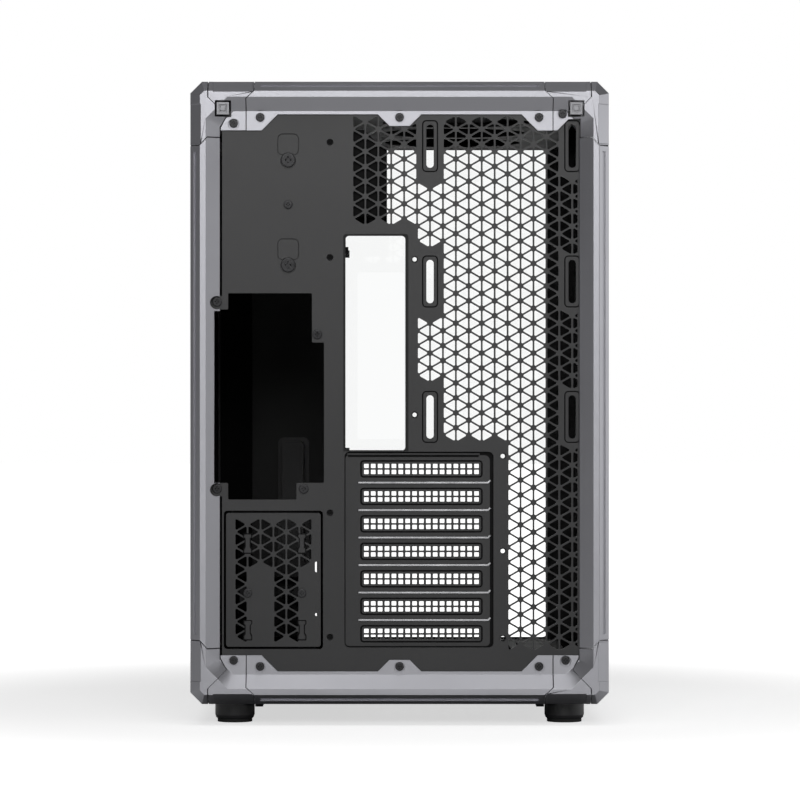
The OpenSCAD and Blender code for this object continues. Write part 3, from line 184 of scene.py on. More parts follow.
# Shared effect: fine grain over soft patches, for colour, roughness and height
def grainGroup():
    group = bpy.data.node_groups.new("finishGrain", "ShaderNodeTree")
    sockets = [("Vector", "NodeSocketVector"), ("Grain Scale", "NodeSocketFloat"),
               ("Patch Scale", "NodeSocketFloat"), ("Dark", "NodeSocketColor"),
               ("Light", "NodeSocketColor"), ("Smooth", "NodeSocketFloat"), ("Rough", "NodeSocketFloat")]
    for name, kind in sockets:
        group.interface.new_socket(name=name, in_out="INPUT", socket_type=kind)
    for name, kind in (("Color", "NodeSocketColor"), ("Roughness", "NodeSocketFloat"),
                       ("Height", "NodeSocketFloat")):
        group.interface.new_socket(name=name, in_out="OUTPUT", socket_type=kind)
    tree, links = group.nodes, group.links
    inside, outside = tree.new("NodeGroupInput"), tree.new("NodeGroupOutput")
    grain = tree.new("ShaderNodeTexNoise")
    grain.inputs["Detail"].default_value = 3
    patches = tree.new("ShaderNodeTexNoise")
    patches.inputs["Detail"].default_value = 4
    tint = tree.new("ShaderNodeMix")
    tint.data_type = "RGBA"
    polish = tree.new("ShaderNodeMapRange")
    polish.inputs["From Min"].default_value = 0.3
    polish.inputs["From Max"].default_value = 0.7
    links.new(inside.outputs["Vector"], grain.inputs["Vector"])
    links.new(inside.outputs["Vector"], patches.inputs["Vector"])
    links.new(inside.outputs["Grain Scale"], grain.inputs["Scale"])
    links.new(inside.outputs["Patch Scale"], patches.inputs["Scale"])
    links.new(patches.outputs["Fac"], tint.inputs["Factor"])
    links.new(inside.outputs["Dark"], tint.inputs["A"])
    links.new(inside.outputs["Light"], tint.inputs["B"])
    links.new(patches.outputs["Fac"], polish.inputs["Value"])
    links.new(inside.outputs["Smooth"], polish.inputs["To Min"])
    links.new(inside.outputs["Rough"], polish.inputs["To Max"])
    links.new(tint.outputs["Result"], outside.inputs["Color"])
    links.new(polish.outputs["Result"], outside.inputs["Roughness"])
    links.new(grain.outputs["Fac"], outside.inputs["Height"])
    return group


# Shared effect: woven screen, with threads across both ways
def screenGroup():
    group = bpy.data.node_groups.new("wovenScreen", "ShaderNodeTree")
    group.interface.new_socket(name="Vector", in_out="INPUT", socket_type="NodeSocketVector")
    group.interface.new_socket(name="Threads", in_out="INPUT", socket_type="NodeSocketFloat")
    group.interface.new_socket(name="Cover", in_out="OUTPUT", socket_type="NodeSocketFloat")
    group.interface.new_socket(name="Height", in_out="OUTPUT", socket_type="NodeSocketFloat")
    tree, links = group.nodes, group.links
    inside, outside = tree.new("NodeGroupInput"), tree.new("NodeGroupOutput")
    scaled = tree.new("ShaderNodeVectorMath")
    scaled.operation = "SCALE"
    axes = tree.new("ShaderNodeSeparateXYZ")
    links.new(inside.outputs["Vector"], scaled.inputs[0])
    links.new(inside.outputs["Threads"], scaled.inputs["Scale"])
    links.new(scaled.outputs["Vector"], axes.inputs["Vector"])
    waves = []
    for axis in ("X", "Y"):
        wave = tree.new("ShaderNodeMath")
        wave.operation = "SINE"
        links.new(axes.outputs[axis], wave.inputs[0])
        waves.append(wave)
    thread = tree.new("ShaderNodeMath")
    thread.operation = "MAXIMUM"
    links.new(waves[0].outputs["Value"], thread.inputs[0])
    links.new(waves[1].outputs["Value"], thread.inputs[1])
    cover = tree.new("ShaderNodeMapRange")
    cover.inputs["From Min"].default_value = -0.1
    cover.inputs["From Max"].default_value = 0.1
    links.new(thread.outputs["Value"], cover.inputs["Value"])
    links.new(cover.outputs["Result"], outside.inputs["Cover"])
    links.new(thread.outputs["Value"], outside.inputs["Height"])
    return group


finishGrain = grainGroup()
wovenScreen = screenGroup()


def startMaterial(name):
    material = bpy.data.materials.new(name)
    material.use_nodes = True
    shader = material.node_tree.nodes["Principled BSDF"]
    place = material.node_tree.nodes.new("ShaderNodeTexCoord")
    return material, material.node_tree.nodes, material.node_tree.links, shader, place


def grainedFinish(name, dark, light, grain, patch, smooth, rough, bump,
                  metallic=0.0, coat=0.0, stretch=None, gloss=0.5):
    material, tree, links, shader, place = startMaterial(name)
    effect = tree.new("ShaderNodeGroup")
    effect.node_tree = finishGrain
    source = place.outputs["Object"]
    if stretch:
        mapping = tree.new("ShaderNodeMapping")
        mapping.inputs["Scale"].default_value = stretch
        links.new(source, mapping.inputs["Vector"])
        source = mapping.outputs["Vector"]
    links.new(source, effect.inputs["Vector"])
    levels = {"Grain Scale": grain, "Patch Scale": patch, "Smooth": smooth, "Rough": rough}
    for socket, value in levels.items():
        effect.inputs[socket].default_value = value
    effect.inputs["Dark"].default_value = (*dark, 1)
    effect.inputs["Light"].default_value = (*light, 1)
    height = tree.new("ShaderNodeBump")
    height.inputs["Strength"].default_value = bump
    height.inputs["Distance"].default_value = 0.1 * mm
    links.new(effect.outputs["Height"], height.inputs["Height"])
    links.new(effect.outputs["Color"], shader.inputs["Base Color"])
    links.new(effect.outputs["Roughness"], shader.inputs["Roughness"])
    links.new(height.outputs["Normal"], shader.inputs["Normal"])
    shader.inputs["Metallic"].default_value = metallic
    shader.inputs["Specular IOR Level"].default_value = gloss
    shader.inputs["Coat Weight"].default_value = coat
    return material


def glassFinish(name, tint):
    material, tree, links, shader, place = startMaterial(name)
    shader.inputs["Base Color"].default_value = (*tint, 1)
    shader.inputs["Roughness"].default_value = 0.0
    shader.inputs["IOR"].default_value = 1.46
    shader.inputs["Transmission Weight"].default_value = 1.0
    return material


def mathNode(tree, links, operation, first, second):
    node = tree.new("ShaderNodeMath")
    node.operation = operation
    for socket, value in zip(node.inputs, (first, second)):
        if isinstance(value, (int, float)):
            socket.default_value = value
        else:
            links.new(value, socket)
    return node.outputs["Value"]


def rampNode(tree, links, value, low, high, fromLevel=0.0, toLevel=1.0):
    node = tree.new("ShaderNodeMapRange")
    node.interpolation_type = "SMOOTHSTEP"
    for socket, level in (("From Min", low), ("From Max", high), ("To Min", fromLevel), ("To Max", toLevel)):
        node.inputs[socket].default_value = level
    links.new(value, node.inputs["Value"])
    return node.outputs["Result"]


def screenFinish(name, colour, threads):
    material, tree, links, shader, place = startMaterial(name)
    effect = tree.new("ShaderNodeGroup")
    effect.node_tree = wovenScreen
    effect.inputs["Threads"].default_value = threads
    height = tree.new("ShaderNodeBump")
    height.inputs["Strength"].default_value = 0.6
    height.inputs["Distance"].default_value = 0.2 * mm
    links.new(place.outputs["Object"], effect.inputs["Vector"])
    # seen at a flat angle the threads close up
    slant = tree.new("ShaderNodeLayerWeight")
    slant.inputs["Blend"].default_value = 0.5
    closed = rampNode(tree, links, slant.outputs["Facing"], 0.55, 0.85)
    links.new(mathNode(tree, links, "MAXIMUM", effect.outputs["Cover"], closed), shader.inputs["Alpha"])
    links.new(effect.outputs["Height"], height.inputs["Height"])
    links.new(height.outputs["Normal"], shader.inputs["Normal"])
    shader.inputs["Base Color"].default_value = (*colour, 1)
    shader.inputs["Roughness"].default_value = 0.8
    shader.inputs["Specular IOR Level"].default_value = 0.1
    return material


finishes = {
    "frame": grainedFinish("beadBlastedAluminium", (0.365, 0.365, 0.39), (0.415, 0.415, 0.445),
                           grain=5200, patch=9, smooth=0.34, rough=0.42, bump=0.2, metallic=1.0),
    "sheet": grainedFinish("blackPowderCoat", (0.020, 0.020, 0.021), (0.026, 0.026, 0.027),
                           grain=1900, patch=14, smooth=0.34, rough=0.42, bump=0.3),
    # the shade sheet is a darker copy of the black powder coat: painted shade, for parts deep in the case and
    # for dark strips where only shade falls
    "shadeSheet": grainedFinish("shadedBlackPowderCoat", (0.004, 0.004, 0.0042), (0.006, 0.006, 0.0062),
                                grain=1900, patch=14, smooth=0.6, rough=0.75, bump=0.3, gloss=0.12),
    # the cover finish is the panels' own black coat made darker, partly painted shade for where they are seen
    # inside through the vents
    "coverSheet": grainedFinish("blackCoverCoatHalfShaded", (0.011, 0.011, 0.0115), (0.015, 0.015, 0.0155),
                                grain=1900, patch=14, smooth=0.42, rough=0.5, bump=0.3, gloss=0.35),
    "pin": grainedFinish("darkAnodisedPin", (0.2, 0.2, 0.21), (0.24, 0.24, 0.25),
                         grain=3000, patch=90, smooth=0.34, rough=0.44, bump=0.2, metallic=1.0),
    "plastic": grainedFinish("sparkTexturedPlastic", (0.028, 0.028, 0.03), (0.038, 0.038, 0.04),
                             grain=3000, patch=25, smooth=0.3, rough=0.42, bump=0.25),
    "rubber": grainedFinish("matRubber", (0.012, 0.012, 0.012), (0.02, 0.02, 0.02),
                            grain=1600, patch=30, smooth=0.75, rough=0.9, bump=0.4),
    "port_steel": grainedFinish("platedPortSteel", (0.55, 0.55, 0.57), (0.66, 0.66, 0.68),
                                grain=700, patch=90, smooth=0.2, rough=0.34, bump=0.1, metallic=1.0,
                                stretch=(1, 12, 1)),
    "screw": grainedFinish("blackZincScrew", (0.016, 0.016, 0.018), (0.024, 0.024, 0.026),
                           grain=2400, patch=120, smooth=0.22, rough=0.34, bump=0.15, metallic=0.3, coat=0.2),
    "glass": glassFinish("clearPane", (0.985, 0.993, 0.99)),
    "screen": screenFinish("wovenDustScreen", (0.012, 0.012, 0.012), 4200),
}
print("finishes ready:", len(finishes))


# The aluminium edge frame, with its edges broken as after blasting
frameEdges = {"break": 0.7 * mm, "segments": 3}
frameNames = [name for name in nodes if name.startswith(("rear_", "front_", "depth_"))
              and name.split("_")[-1] != "panel" and "glass" not in name and "chassis" not in name]
for name in sorted(frameNames):
    piece = cadCopy(name)
    roundEdges(piece, frameEdges["break"], frameEdges["segments"])
    finishPiece(piece, "frame", replaced=[name])
print("edge frame:", len(frameNames), "pieces")


# Flat outlines are in millimetres, x to the right and z up as seen from the back
# frontV is how far a sheet's face lies behind the frame's crest
crestY = cadLow.y


def filleted(corners, steps=4):
    # corners are (x, z, radius); a radius of 0 keeps the corner sharp
    outline = []
    for k, (x, z, radius) in enumerate(corners):
        here = Vector((x, z))
        if radius == 0:
            outline.append((x, z))
            continue
        toLast = (Vector(corners[k - 1][:2]) - here).normalized()
        toNext = (Vector(corners[(k + 1) % len(corners)][:2]) - here).normalized()
        half = toLast.angle(toNext) / 2
        middle = here + (toLast + toNext).normalized() * radius / math.sin(half)
        first = here + toLast * radius / math.tan(half) - middle
        turn = first.angle_signed(here + toNext * radius / math.tan(half) - middle)
        for step in range(steps + 1):
            arm = first.copy()
            arm.rotate(Matrix.Rotation(-turn * step / steps, 2))
            outline.append(tuple(middle + arm))
    return outline


def roundedBox(x, z, width, height, radius, steps=4):
    right, top = width / 2, height / 2
    return filleted([(x + sx * right, z + sz * top, radius)
                     for sx, sz in ((1, 1), (-1, 1), (-1, -1), (1, -1))], steps)


def circle(x, z, diameter, steps=24):
    turns = [2 * math.pi * k / steps for k in range(steps)]
    return [(x + diameter / 2 * math.cos(turn), z + diameter / 2 * math.sin(turn)) for turn in turns]


def flatSheet(name, outlines, frontV, thickness, edgeBreak=0.12):
    curve = bpy.data.curves.new(name, "CURVE")
    curve.dimensions = "2D"
    curve.fill_mode = "BOTH"
    curve.extrude = thickness / 2 * mm - edgeBreak * mm
    curve.bevel_depth = edgeBreak * mm
    curve.bevel_resolution = 0
    curve.offset = -edgeBreak * mm
    for outline in outlines:
        spline = curve.splines.new("POLY")
        spline.points.add(len(outline) - 1)
        for point, (x, z) in zip(spline.points, outline):
            point.co = (x * mm, z * mm, 0, 1)
        spline.use_cyclic_u = True
    piece = bpy.data.objects.new(name, curve)
    bpy.context.scene.collection.objects.link(piece)
    makeActive(piece)
    bpy.ops.object.convert(target="MESH")
    piece = bpy.context.active_object
    piece.rotation_euler = (math.radians(90), 0, 0)
    piece.location = (0, crestY + (frontV + thickness / 2) * mm, 0)
    settle(piece)
    selectEverything(piece)
    bpy.ops.mesh.remove_doubles(threshold=0.002 * mm)
    backToObject()
    return piece


# Triangular vents: columns between upright ribs, in turn pointing right and left
vents = {"cell": 11.03, "rib": 1.3, "corner": 0.8, "over": 0.4, "firstRib": -34.84, "top": 440.1,
         "high": 450.9, "boardTop": 364.3, "boardFoot": 205.55, "foot": 49, "rightEdge": 131.5,
         "overBoard": range(0, 5), "betweenPads": range(5, 7), "besideBoard": range(7, 12),
         "besideSlots": range(12, 18), "padRoom": 22, "padColumn": 16, "padInset": 3, "padReach": 23}
ventColumn = vents["cell"] * math.sqrt(3) / 2


def ventTriangle(x, z, way):
    reach = vents["cell"] / math.sqrt(3) - vents["rib"]
    tips = [(x + way * reach * math.cos(math.radians(turn)), z + reach * math.sin(math.radians(turn)))
            for turn in (0, 120, 240)]
    return filleted([(*tip, vents["corner"]) for tip in tips], 3)


def ventZone(firstRib, top, columns, low, high, skip=lambda x, z: False):
    # the whole triangles that stand between two heights
    outlines = []
    step, over = vents["cell"] / 2, vents["over"]
    firstRow, lastRow = math.floor((top - high) / step) - 1, math.ceil((top - low) / step) + 1
    for column in columns:
        for row in range(firstRow, lastRow + 1):
            way = 1 if (column + row) % 2 == 0 else -1
            x = firstRib + (column + (1 / 3 if way > 0 else 2 / 3)) * ventColumn
            z = top - (row + 1) * step
            if z + step <= high + over and z - step >= low - over and not skip(x, z):
                outlines.append(ventTriangle(x, z, way))
    return outlines


def clippedRight(outlines, limit):
    # cuts outlines off at an upright line
    kept = []
    for outline in outlines:
        cut = []
        for (x0, z0), (x1, z1) in zip(outline, outline[1:] + outline[:1]):
            if x0 <= limit:
                cut.append((x0, z0))
            if (x0 <= limit) != (x1 <= limit):
                cut.append((limit, z0 + (z1 - z0) * (limit - x0) / (x1 - x0)))
        if len(cut) > 2 and max(x for x, z in cut) - min(x for x, z in cut) > 1:
            kept.append(cut)
    return kept


# The steel back, punched and folded
back = {"front": 10, "thickness": 1.2, "fold": 10, "foldV": 0.2, "left": -131.2, "right": 133.7,
        "corner": 0.6, "boardCorner": 3, "boardLeft": -40.1, "boardLow": 202.55, "boardWidth": 44.45,
        "boardHeight": 158.75,
        "fanLeft": 22.5, "fanRight": 127.5, "fanRows": (427.5, 327.5, 227.5), "fanSlot": (5.4, 32),
        "fanPad": 2.4, "fanLine": 0.8, "padProud": 0.1, "padEdge": 0.2, "lineDeep": 0.6,
        "keyX": -82.3, "keyRows": (416.5, 339.0), "keyDisc": 11.4, "keySquare": 15.9, "keyHeight": 16,
        "keyRise": 12.2, "keyScrewZ": 383.7, "keyScrewHole": 3.4}
fanPlaces = [(x, z) for x in (back["fanLeft"], back["fanRight"]) for z in back["fanRows"]]

# The power supply's opening, with an ear round each left screw and a step at each right corner
supply = {"left": -140.8, "right": -54.8, "top": 317.8, "low": 167.8, "ear": 5, "earFoot": 0.4, "corner": 0.8,
          "sideIn": 14.2, "topGap": 1, "stepIn": 10, "stepDown": 35.4, "rightGap": 1.1, "footUp": 11.1,
          "footRun": 64.5, "lowGap": 1.3, "screwHole": 3.8}
supplyScrews = [(-134.8, 311.8), (-134.8, 173.8), (-60.8, 287.8), (-70.8, 173.8)]

# Small dimpled holes, the pan of the slot covers, its clamp and the bay cover
dimple = {"mouth": 4.9, "hole": 3.2, "deep": 1.3, "wall": 0.25, "proud": 0.1}
dimples = [(-51.4, 430.5), (-51.4, 345.4), (-51.4, 156.8), (-51.4, 65.0), (11.1, 343.9), (11.1, 229.1),
           (76.2, 198.55), (76.2, 128.45), (76.2, 64.05)]
slotPan = {"x": 14.3, "z": 129.43, "width": 110, "height": 144.64, "corner": 3.5, "floor": 13, "wallDepth": 4,
           "coverX": 16.15, "coverTop": 189.05, "pitch": 20.32, "count": 7, "opening": (90.4, 12.8),
           "openingCorner": 2.4}
clamp = {"webX": 69.9, "depth": 10, "railX": 66.35, "railWidth": 8.3, "railV": 21.8, "holeX": 64.7,
         "hole": 3.4, "past": 8}
bay = {"x": -93.2, "z": 107.15, "width": 70, "height": 98.9, "gap": 1.6, "openingCorner": 2.5, "corner": 1.8,
       "fold": 9, "foldV": 0.3, "screwHole": 3.4, "sideRoom": 4, "ventTop": 3, "rim": 2.5,
       "plainColumns": (1, 2, 5), "plainShare": 0.55, "markIn": 3.2, "slotUp": 59, "slotSize": (2.2, 7.8),
       "slotCorner": 1.09, "holeUp": 23.8, "hole": 2.2}


def backOutline():
    low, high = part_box("rear_panel")
    left, right, bottom, top = back["left"], back["right"], low.z / mm, high.z / mm
    ear, foot, corner, edge = supply["ear"], supply["earFoot"], supply["corner"], back["corner"]
    tip = ear - 0.1
    earX = supplyScrews[0][0] - ear
    upper, lower = supplyScrews[0][1], supplyScrews[1][1]
    sideX, wallX = supply["left"] + supply["sideIn"], supply["right"] - supply["rightGap"]
    stepX, footX = supply["right"] - supply["stepIn"], supply["left"] + supply["footRun"]
    roofZ, stepZ = supply["top"] + supply["topGap"], supply["top"] - supply["stepDown"]
    footZ, floorZ = supply["low"] + supply["footUp"], supply["low"] - supply["lowGap"]
    return filleted([
        (left, bottom, edge), (right, bottom, edge), (right, top, edge), (left, top, edge),
        (left, upper + ear, foot), (earX, upper + ear, tip), (earX, upper - ear, tip),
        (sideX, upper - ear, corner), (sideX, roofZ, corner), (stepX, roofZ, corner),
        (stepX, stepZ, corner), (wallX, stepZ, corner),
        (wallX, footZ, corner), (footX, footZ, corner),
        (footX, floorZ, corner), (sideX, floorZ, corner),
        (sideX, lower + ear, corner), (earX, lower + ear, tip), (earX, lower - ear, tip),
        (left, lower - ear, foot)])


def keyholeOutline(z):
    disc, half = back["keyDisc"] / 2, back["keySquare"] / 2
    foot = back["keyRise"] - back["keyHeight"] / 2
    head = foot + back["keyHeight"]
    neck = math.degrees(math.asin(foot / disc))
    arc = [math.radians(180 - neck + (180 + 2 * neck) * k / 20) for k in range(21)]
    points = filleted([(half, foot, 3), (half, head, 4), (-half, head, 4), (-half, foot, 3)])
    points += [(disc * math.cos(turn), disc * math.sin(turn)) for turn in arc]
    return [(back["keyX"] + x, z + rise) for x, rise in points]


def backVents():
    firstRib, top, high = vents["firstRib"], vents["top"], vents["high"]
    rows, room = back["fanRows"], vents["padRoom"]
    outlines = ventZone(firstRib, top, vents["overBoard"], vents["boardTop"], high)
    for upper, lower in zip(rows, rows[1:]):
        outlines += ventZone(firstRib, top, vents["betweenPads"], lower + room, upper - room)
    outlines += ventZone(firstRib, top, vents["besideBoard"], vents["boardFoot"], high)
    padsX = firstRib + vents["padColumn"] * ventColumn - vents["padInset"]
    rightSide = ventZone(firstRib, top, vents["besideSlots"], vents["foot"], high,
                         lambda x, z: x > padsX and any(abs(z - row) < vents["padReach"] for row in rows))
    return outlines + clippedRight(rightSide, vents["rightEdge"])


def padOutline(x, z, grow):
    reach = back["fanPad"] + grow
    width, height = back["fanSlot"]
    return roundedBox(x, z, width + 2 * reach, height + 2 * reach, reach, 5)


def makeBack():
    front, sheet = back["front"], back["thickness"]
    boardX, boardZ = back["boardLeft"] + back["boardWidth"] / 2, back["boardLow"] + back["boardHeight"] / 2
    bayWidth, bayHeight = bay["width"] + 2 * bay["gap"], bay["height"] + 2 * bay["gap"]
    openings = [backOutline(),
                roundedBox(boardX, boardZ, back["boardWidth"], back["boardHeight"], back["boardCorner"]),
                roundedBox(slotPan["x"], slotPan["z"], slotPan["width"], slotPan["height"],
                           slotPan["corner"]),
                roundedBox(bay["x"], bay["z"], bayWidth, bayHeight, bay["openingCorner"])]
    openings += [keyholeOutline(z) for z in back["keyRows"]]
    openings += [circle(x, z, supply["screwHole"]) for x, z in supplyScrews]
    openings += [circle(x, z, dimple["mouth"]) for x, z in dimples]
    openings.append(circle(back["keyX"], back["keyScrewZ"], back["keyScrewHole"]))
    openings += [padOutline(x, z, back["fanLine"]) for x, z in fanPlaces]
    parts = [flatSheet("backSheet", openings + backVents(), front, sheet)]
    slotWidth, slotHeight = back["fanSlot"]
    for x, z in fanPlaces:
        slot = roundedBox(x, z, slotWidth, slotHeight, slotWidth / 2 - 0.01, 8)
        parts.append(flatSheet("fanPad", [padOutline(x, z, 0), slot], front - back["padProud"],
                               sheet + back["padProud"], back["padEdge"]))
        groove = [padOutline(x, z, back["fanLine"] + 0.2), padOutline(x, z, -0.4)]
        parts.append(flatSheet("fanLine", groove, front + back["lineDeep"], sheet - back["lineDeep"], 0.05))
    parts += slotPanParts() + backFolds()
    return joinPieces(parts, "backPanel")


def slotPanParts():
    x, z, width, height = slotPan["x"], slotPan["z"], slotPan["width"], slotPan["height"]
    sheet, corner = back["thickness"], slotPan["corner"]
    wall = [roundedBox(x, z, width + 2 * sheet, height + 2 * sheet, corner + sheet),
            roundedBox(x, z, width - 0.1, height - 0.1, corner)]
    rows = [slotPan["coverTop"] - k * slotPan["pitch"] for k in range(slotPan["count"])]
    floor = [roundedBox(x, z, width + sheet, height + sheet, corner)]
    floor += [roundedBox(slotPan["coverX"], row, *slotPan["opening"], slotPan["openingCorner"])
              for row in rows]
    clampLow, clampTop = rows[-1] - clamp["past"], rows[0] + clamp["past"]
    middle, length = (clampLow + clampTop) / 2, clampTop - clampLow
    web = [roundedBox(clamp["webX"], middle, sheet, length, 0.3)]
    rail = [roundedBox(clamp["railX"], middle, clamp["railWidth"], length, 0.5)]
    rail += [circle(clamp["holeX"], row, clamp["hole"]) for row in rows]
    return [flatSheet("panWall", wall, back["front"] + back["foldV"], slotPan["wallDepth"], 0.1),
            flatSheet("panFloor", floor, slotPan["floor"], sheet),
            flatSheet("clampWeb", web, slotPan["floor"], clamp["depth"]),
            flatSheet("clampRail", rail, clamp["railV"], sheet)]


def backFolds():
    low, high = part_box("rear_panel")
    left, right, bottom, top = back["left"], back["right"], low.z / mm, high.z / mm
    sheet, half = back["thickness"], back["thickness"] / 2
    middle, width = (left + right) / 2, right - left
    bars = [(right - half, (bottom + top) / 2, sheet, top - bottom),
            (left + half, (bottom + supply["low"]) / 2, sheet, supply["low"] - bottom),
            (left + half, (supply["top"] + top) / 2, sheet, top - supply["top"]),
            (middle, bottom + half, width, sheet), (middle, top - half, width, sheet)]
    return [flatSheet("backFold", [roundedBox(*bar, 0.2)], back["front"] + back["foldV"], back["fold"])
            for bar in bars]


backPanel = makeBack()
finishPiece(backPanel, "sheet", replaced=["rear_panel"])
print("back panel:", len(backPanel.data.polygons), "faces")


# Raised ribs between the slots, their bright edges bent up at the end, and the bar over them; the ribs'
# bright plated finish is a painted highlight of their lit edges
ribs = {"left": -30.6, "right": 65.4, "half": 0.75, "tick": 2.1, "rise": 1.1, "sunk": 0.2, "edge": 0.35}
bar = {"x": 10.1, "width": 98.6, "overSlots": 11.05, "height": 1.7, "corner": 0.7, "rise": 1.6, "edge": 0.4}


def makeRibs():
    parts = []
    left, right, half, tick = ribs["left"], ribs["right"], ribs["half"], ribs["tick"]
    for k in range(slotPan["count"] - 1):
        z = slotPan["coverTop"] - (k + 0.5) * slotPan["pitch"]
        outline = filleted([(left, z - half, 0.4), (right + 0.3, z - half, 0.5),
                            (right + 0.3 + tick, z - half + tick, 0.3),
                            (right - 0.8 + tick, z + half - 0.4 + tick, 0.3),
                            (right - 0.6, z + half, 0.4), (left, z + half, 0.4)], 3)
        parts.append(flatSheet("panRib", [outline], slotPan["floor"] - ribs["rise"],
                               ribs["rise"] + ribs["sunk"], ribs["edge"]))
    return joinPieces(parts, "slotRibs")


slotRibs = makeRibs()
# the plated steel finish paints on the highlight that the light gives the ribs' edges
finishPiece(slotRibs, "port_steel")
slotBar = flatSheet("slotBar", [roundedBox(bar["x"], slotPan["coverTop"] + bar["overSlots"], bar["width"],
                                           bar["height"], bar["corner"])],
                    slotPan["floor"] - bar["rise"], bar["rise"] + ribs["sunk"], bar["edge"])
finishPiece(slotBar, "sheet")


# Painted shade: black strips stand in for the shade in the gap round the pan, under the bar and in the
# grooves round the fan pads
gaps = {"panTop": 2.4, "panRight": 2.4, "panLeft": 0.5, "panFoot": 0.9, "proud": 0.15, "thickness": 0.3,
        "barOverSlots": 9.5, "barHeight": 1.5, "padV": 0.2, "padThickness": 0.5}


def makeGapShade():
    x, z, width, height = slotPan["x"], slotPan["z"], slotPan["width"] - 0.3, slotPan["height"] - 0.3
    left, right = x - width / 2 + gaps["panLeft"], x + width / 2 - gaps["panRight"]
    low, high = z - height / 2 + gaps["panFoot"], z + height / 2 - gaps["panTop"]
    panGap = [roundedBox(x, z, width, height, 3.4),
              filleted([(left, low, 2.5), (right, low, 3), (right, high, 4), (left, high, 2.5)])]
    barGap = [roundedBox(bar["x"], slotPan["coverTop"] + gaps["barOverSlots"], bar["width"] - 2,
                         gaps["barHeight"], 0.4)]
    front = slotPan["floor"] - gaps["proud"]
    parts = [flatSheet("panGap", panGap, front, gaps["thickness"], 0.05),
             flatSheet("barGap", barGap, front, gaps["thickness"], 0.05)]
    for padX, padZ in fanPlaces:
        ring = [padOutline(padX, padZ, back["fanLine"] + 0.1), padOutline(padX, padZ, 0.05)]
        parts.append(flatSheet("padGap", ring, back["front"] + gaps["padV"], gaps["padThickness"], 0.03))
    return joinPieces(parts, "paintedGapShade")


# the strips take the shade finish, which is painted shade
paintedGapShade = makeGapShade()
finishPiece(paintedGapShade, "rubber", finish="shadeSheet")
print("slot ribs and gaps ready")


# Slot covers: a perforated face, a hook on the left, a screw tab on the right and a dark rim behind, which is
# painted shade
cover = {"width": 88.4, "height": 10.8, "corner": 1.7, "columns": 17, "holePitch": 5.09, "hole": (3.4, 3.15),
         "holeCorner": 0.35, "rowRise": 2.22, "proud": 0.4, "edge": 0.2, "hookOut": 48.6, "hookSize": (8, 5),
         "hookV": 1.8, "screwOut": 48.55, "screwHole": 3.4, "tabPast": 4.2, "tabIn": 0.8, "tabDepth": 8,
         "wallV": 0.5, "shadeRim": 1.6, "shadeRimLap": 0.9, "shadeRimV": 0.9, "shadeRimThickness": 0.5}


def makeCover():
    x, z, width, height = slotPan["coverX"], slotPan["coverTop"], cover["width"], cover["height"]
    sheet, front = back["thickness"], slotPan["floor"] - cover["proud"]
    middleColumn = (cover["columns"] - 1) / 2
    face = [roundedBox(x, z, width, height, cover["corner"])]
    face += [roundedBox(x + (column - middleColumn) * cover["holePitch"], z + side * cover["rowRise"],
                        *cover["hole"], cover["holeCorner"], 2)
             for column in range(cover["columns"]) for side in (-1, 1)]
    right, screwX = x + width / 2, x + cover["screwOut"]
    tabLeft, tabRight, flange = right - sheet, screwX + cover["tabPast"], height - cover["tabIn"]
    hookPlate = [roundedBox(x - cover["hookOut"], z, *cover["hookSize"], 0.8)]
    wall = [roundedBox(right - sheet / 2, z, sheet, flange, 0.3)]
    tab = [roundedBox((tabLeft + tabRight) / 2, z, tabRight - tabLeft, flange, 0.8),
           circle(screwX, z, cover["screwHole"])]
    parts = [flatSheet("coverFace", face, front, sheet, cover["edge"]),
             flatSheet("coverHook", hookPlate, slotPan["floor"] + cover["hookV"], sheet),
             flatSheet("coverWall", wall, front + cover["wallV"], cover["tabDepth"]),
             flatSheet("coverTab", tab, front + cover["tabDepth"], sheet)]
    return joinPieces(parts, "slotCover")


def makeCoverShadeRim():
    # painted shade: a dark rim that stands in for the shade in the gap behind the pan
    x, z, width, height = slotPan["coverX"], slotPan["coverTop"], cover["width"], cover["height"]
    reach = cover["shadeRim"] + cover["shadeRimLap"]
    rim = [roundedBox(x, z, width + 2 * reach, height + 2 * reach, 2.6),
           roundedBox(x, z, width - 0.8, height - 0.8, 1.4)]
    return flatSheet("coverShadeRim", rim, slotPan["floor"] + cover["shadeRimV"], cover["shadeRimThickness"], 0.05)


def slotCopies(model):
    # one copy at each slot, in place of the model
    copies = [placedCopy(model, (0, 0, -k * slotPan["pitch"] * mm)) for k in range(slotPan["count"])]
    bpy.data.objects.remove(model)
    return copies


# the rims take the shade finish, which is painted shade
coverShadeRims = joinPieces(slotCopies(makeCoverShadeRim()), "coverShadeRims")
finishPiece(coverShadeRims, "rubber", finish="shadeSheet")
for k, piece in enumerate(slotCopies(makeCover())):
    piece.name = "slotCover%d" % (k + 1)
    finishPiece(piece, "sheet", replaced=["slot_cover_%d" % (k + 1)])
print("slot covers ready")


# Dimples pressed into the back round its small holes
def makeDimple():
    deselectAll()
    middleV = back["front"] + dimple["deep"] / 2 - dimple["proud"]
    bpy.ops.mesh.primitive_cone_add(vertices=28, radius1=dimple["hole"] / 2 * mm,
                                    radius2=dimple["mouth"] / 2 * mm, depth=dimple["deep"] * mm,
                                    end_fill_type="NOTHING", rotation=(math.radians(90), 0, 0),
                                    location=(0, crestY + middleV * mm, 0))
    piece = bpy.context.active_object
    piece.name = "dimple"
    settle(piece)
    applyModifier(piece, "SOLIDIFY", thickness=dimple["wall"] * mm, offset=1)
    return piece


dimpleModel = makeDimple()
dimpleRow = joinPieces([placedCopy(dimpleModel, (x * mm, 0, z * mm)) for x, z in dimples], "backDimples")
bpy.data.objects.remove(dimpleModel)
smoothShade(dimpleRow)
finishPiece(dimpleRow, "sheet")
print("dimples:", len(dimples))


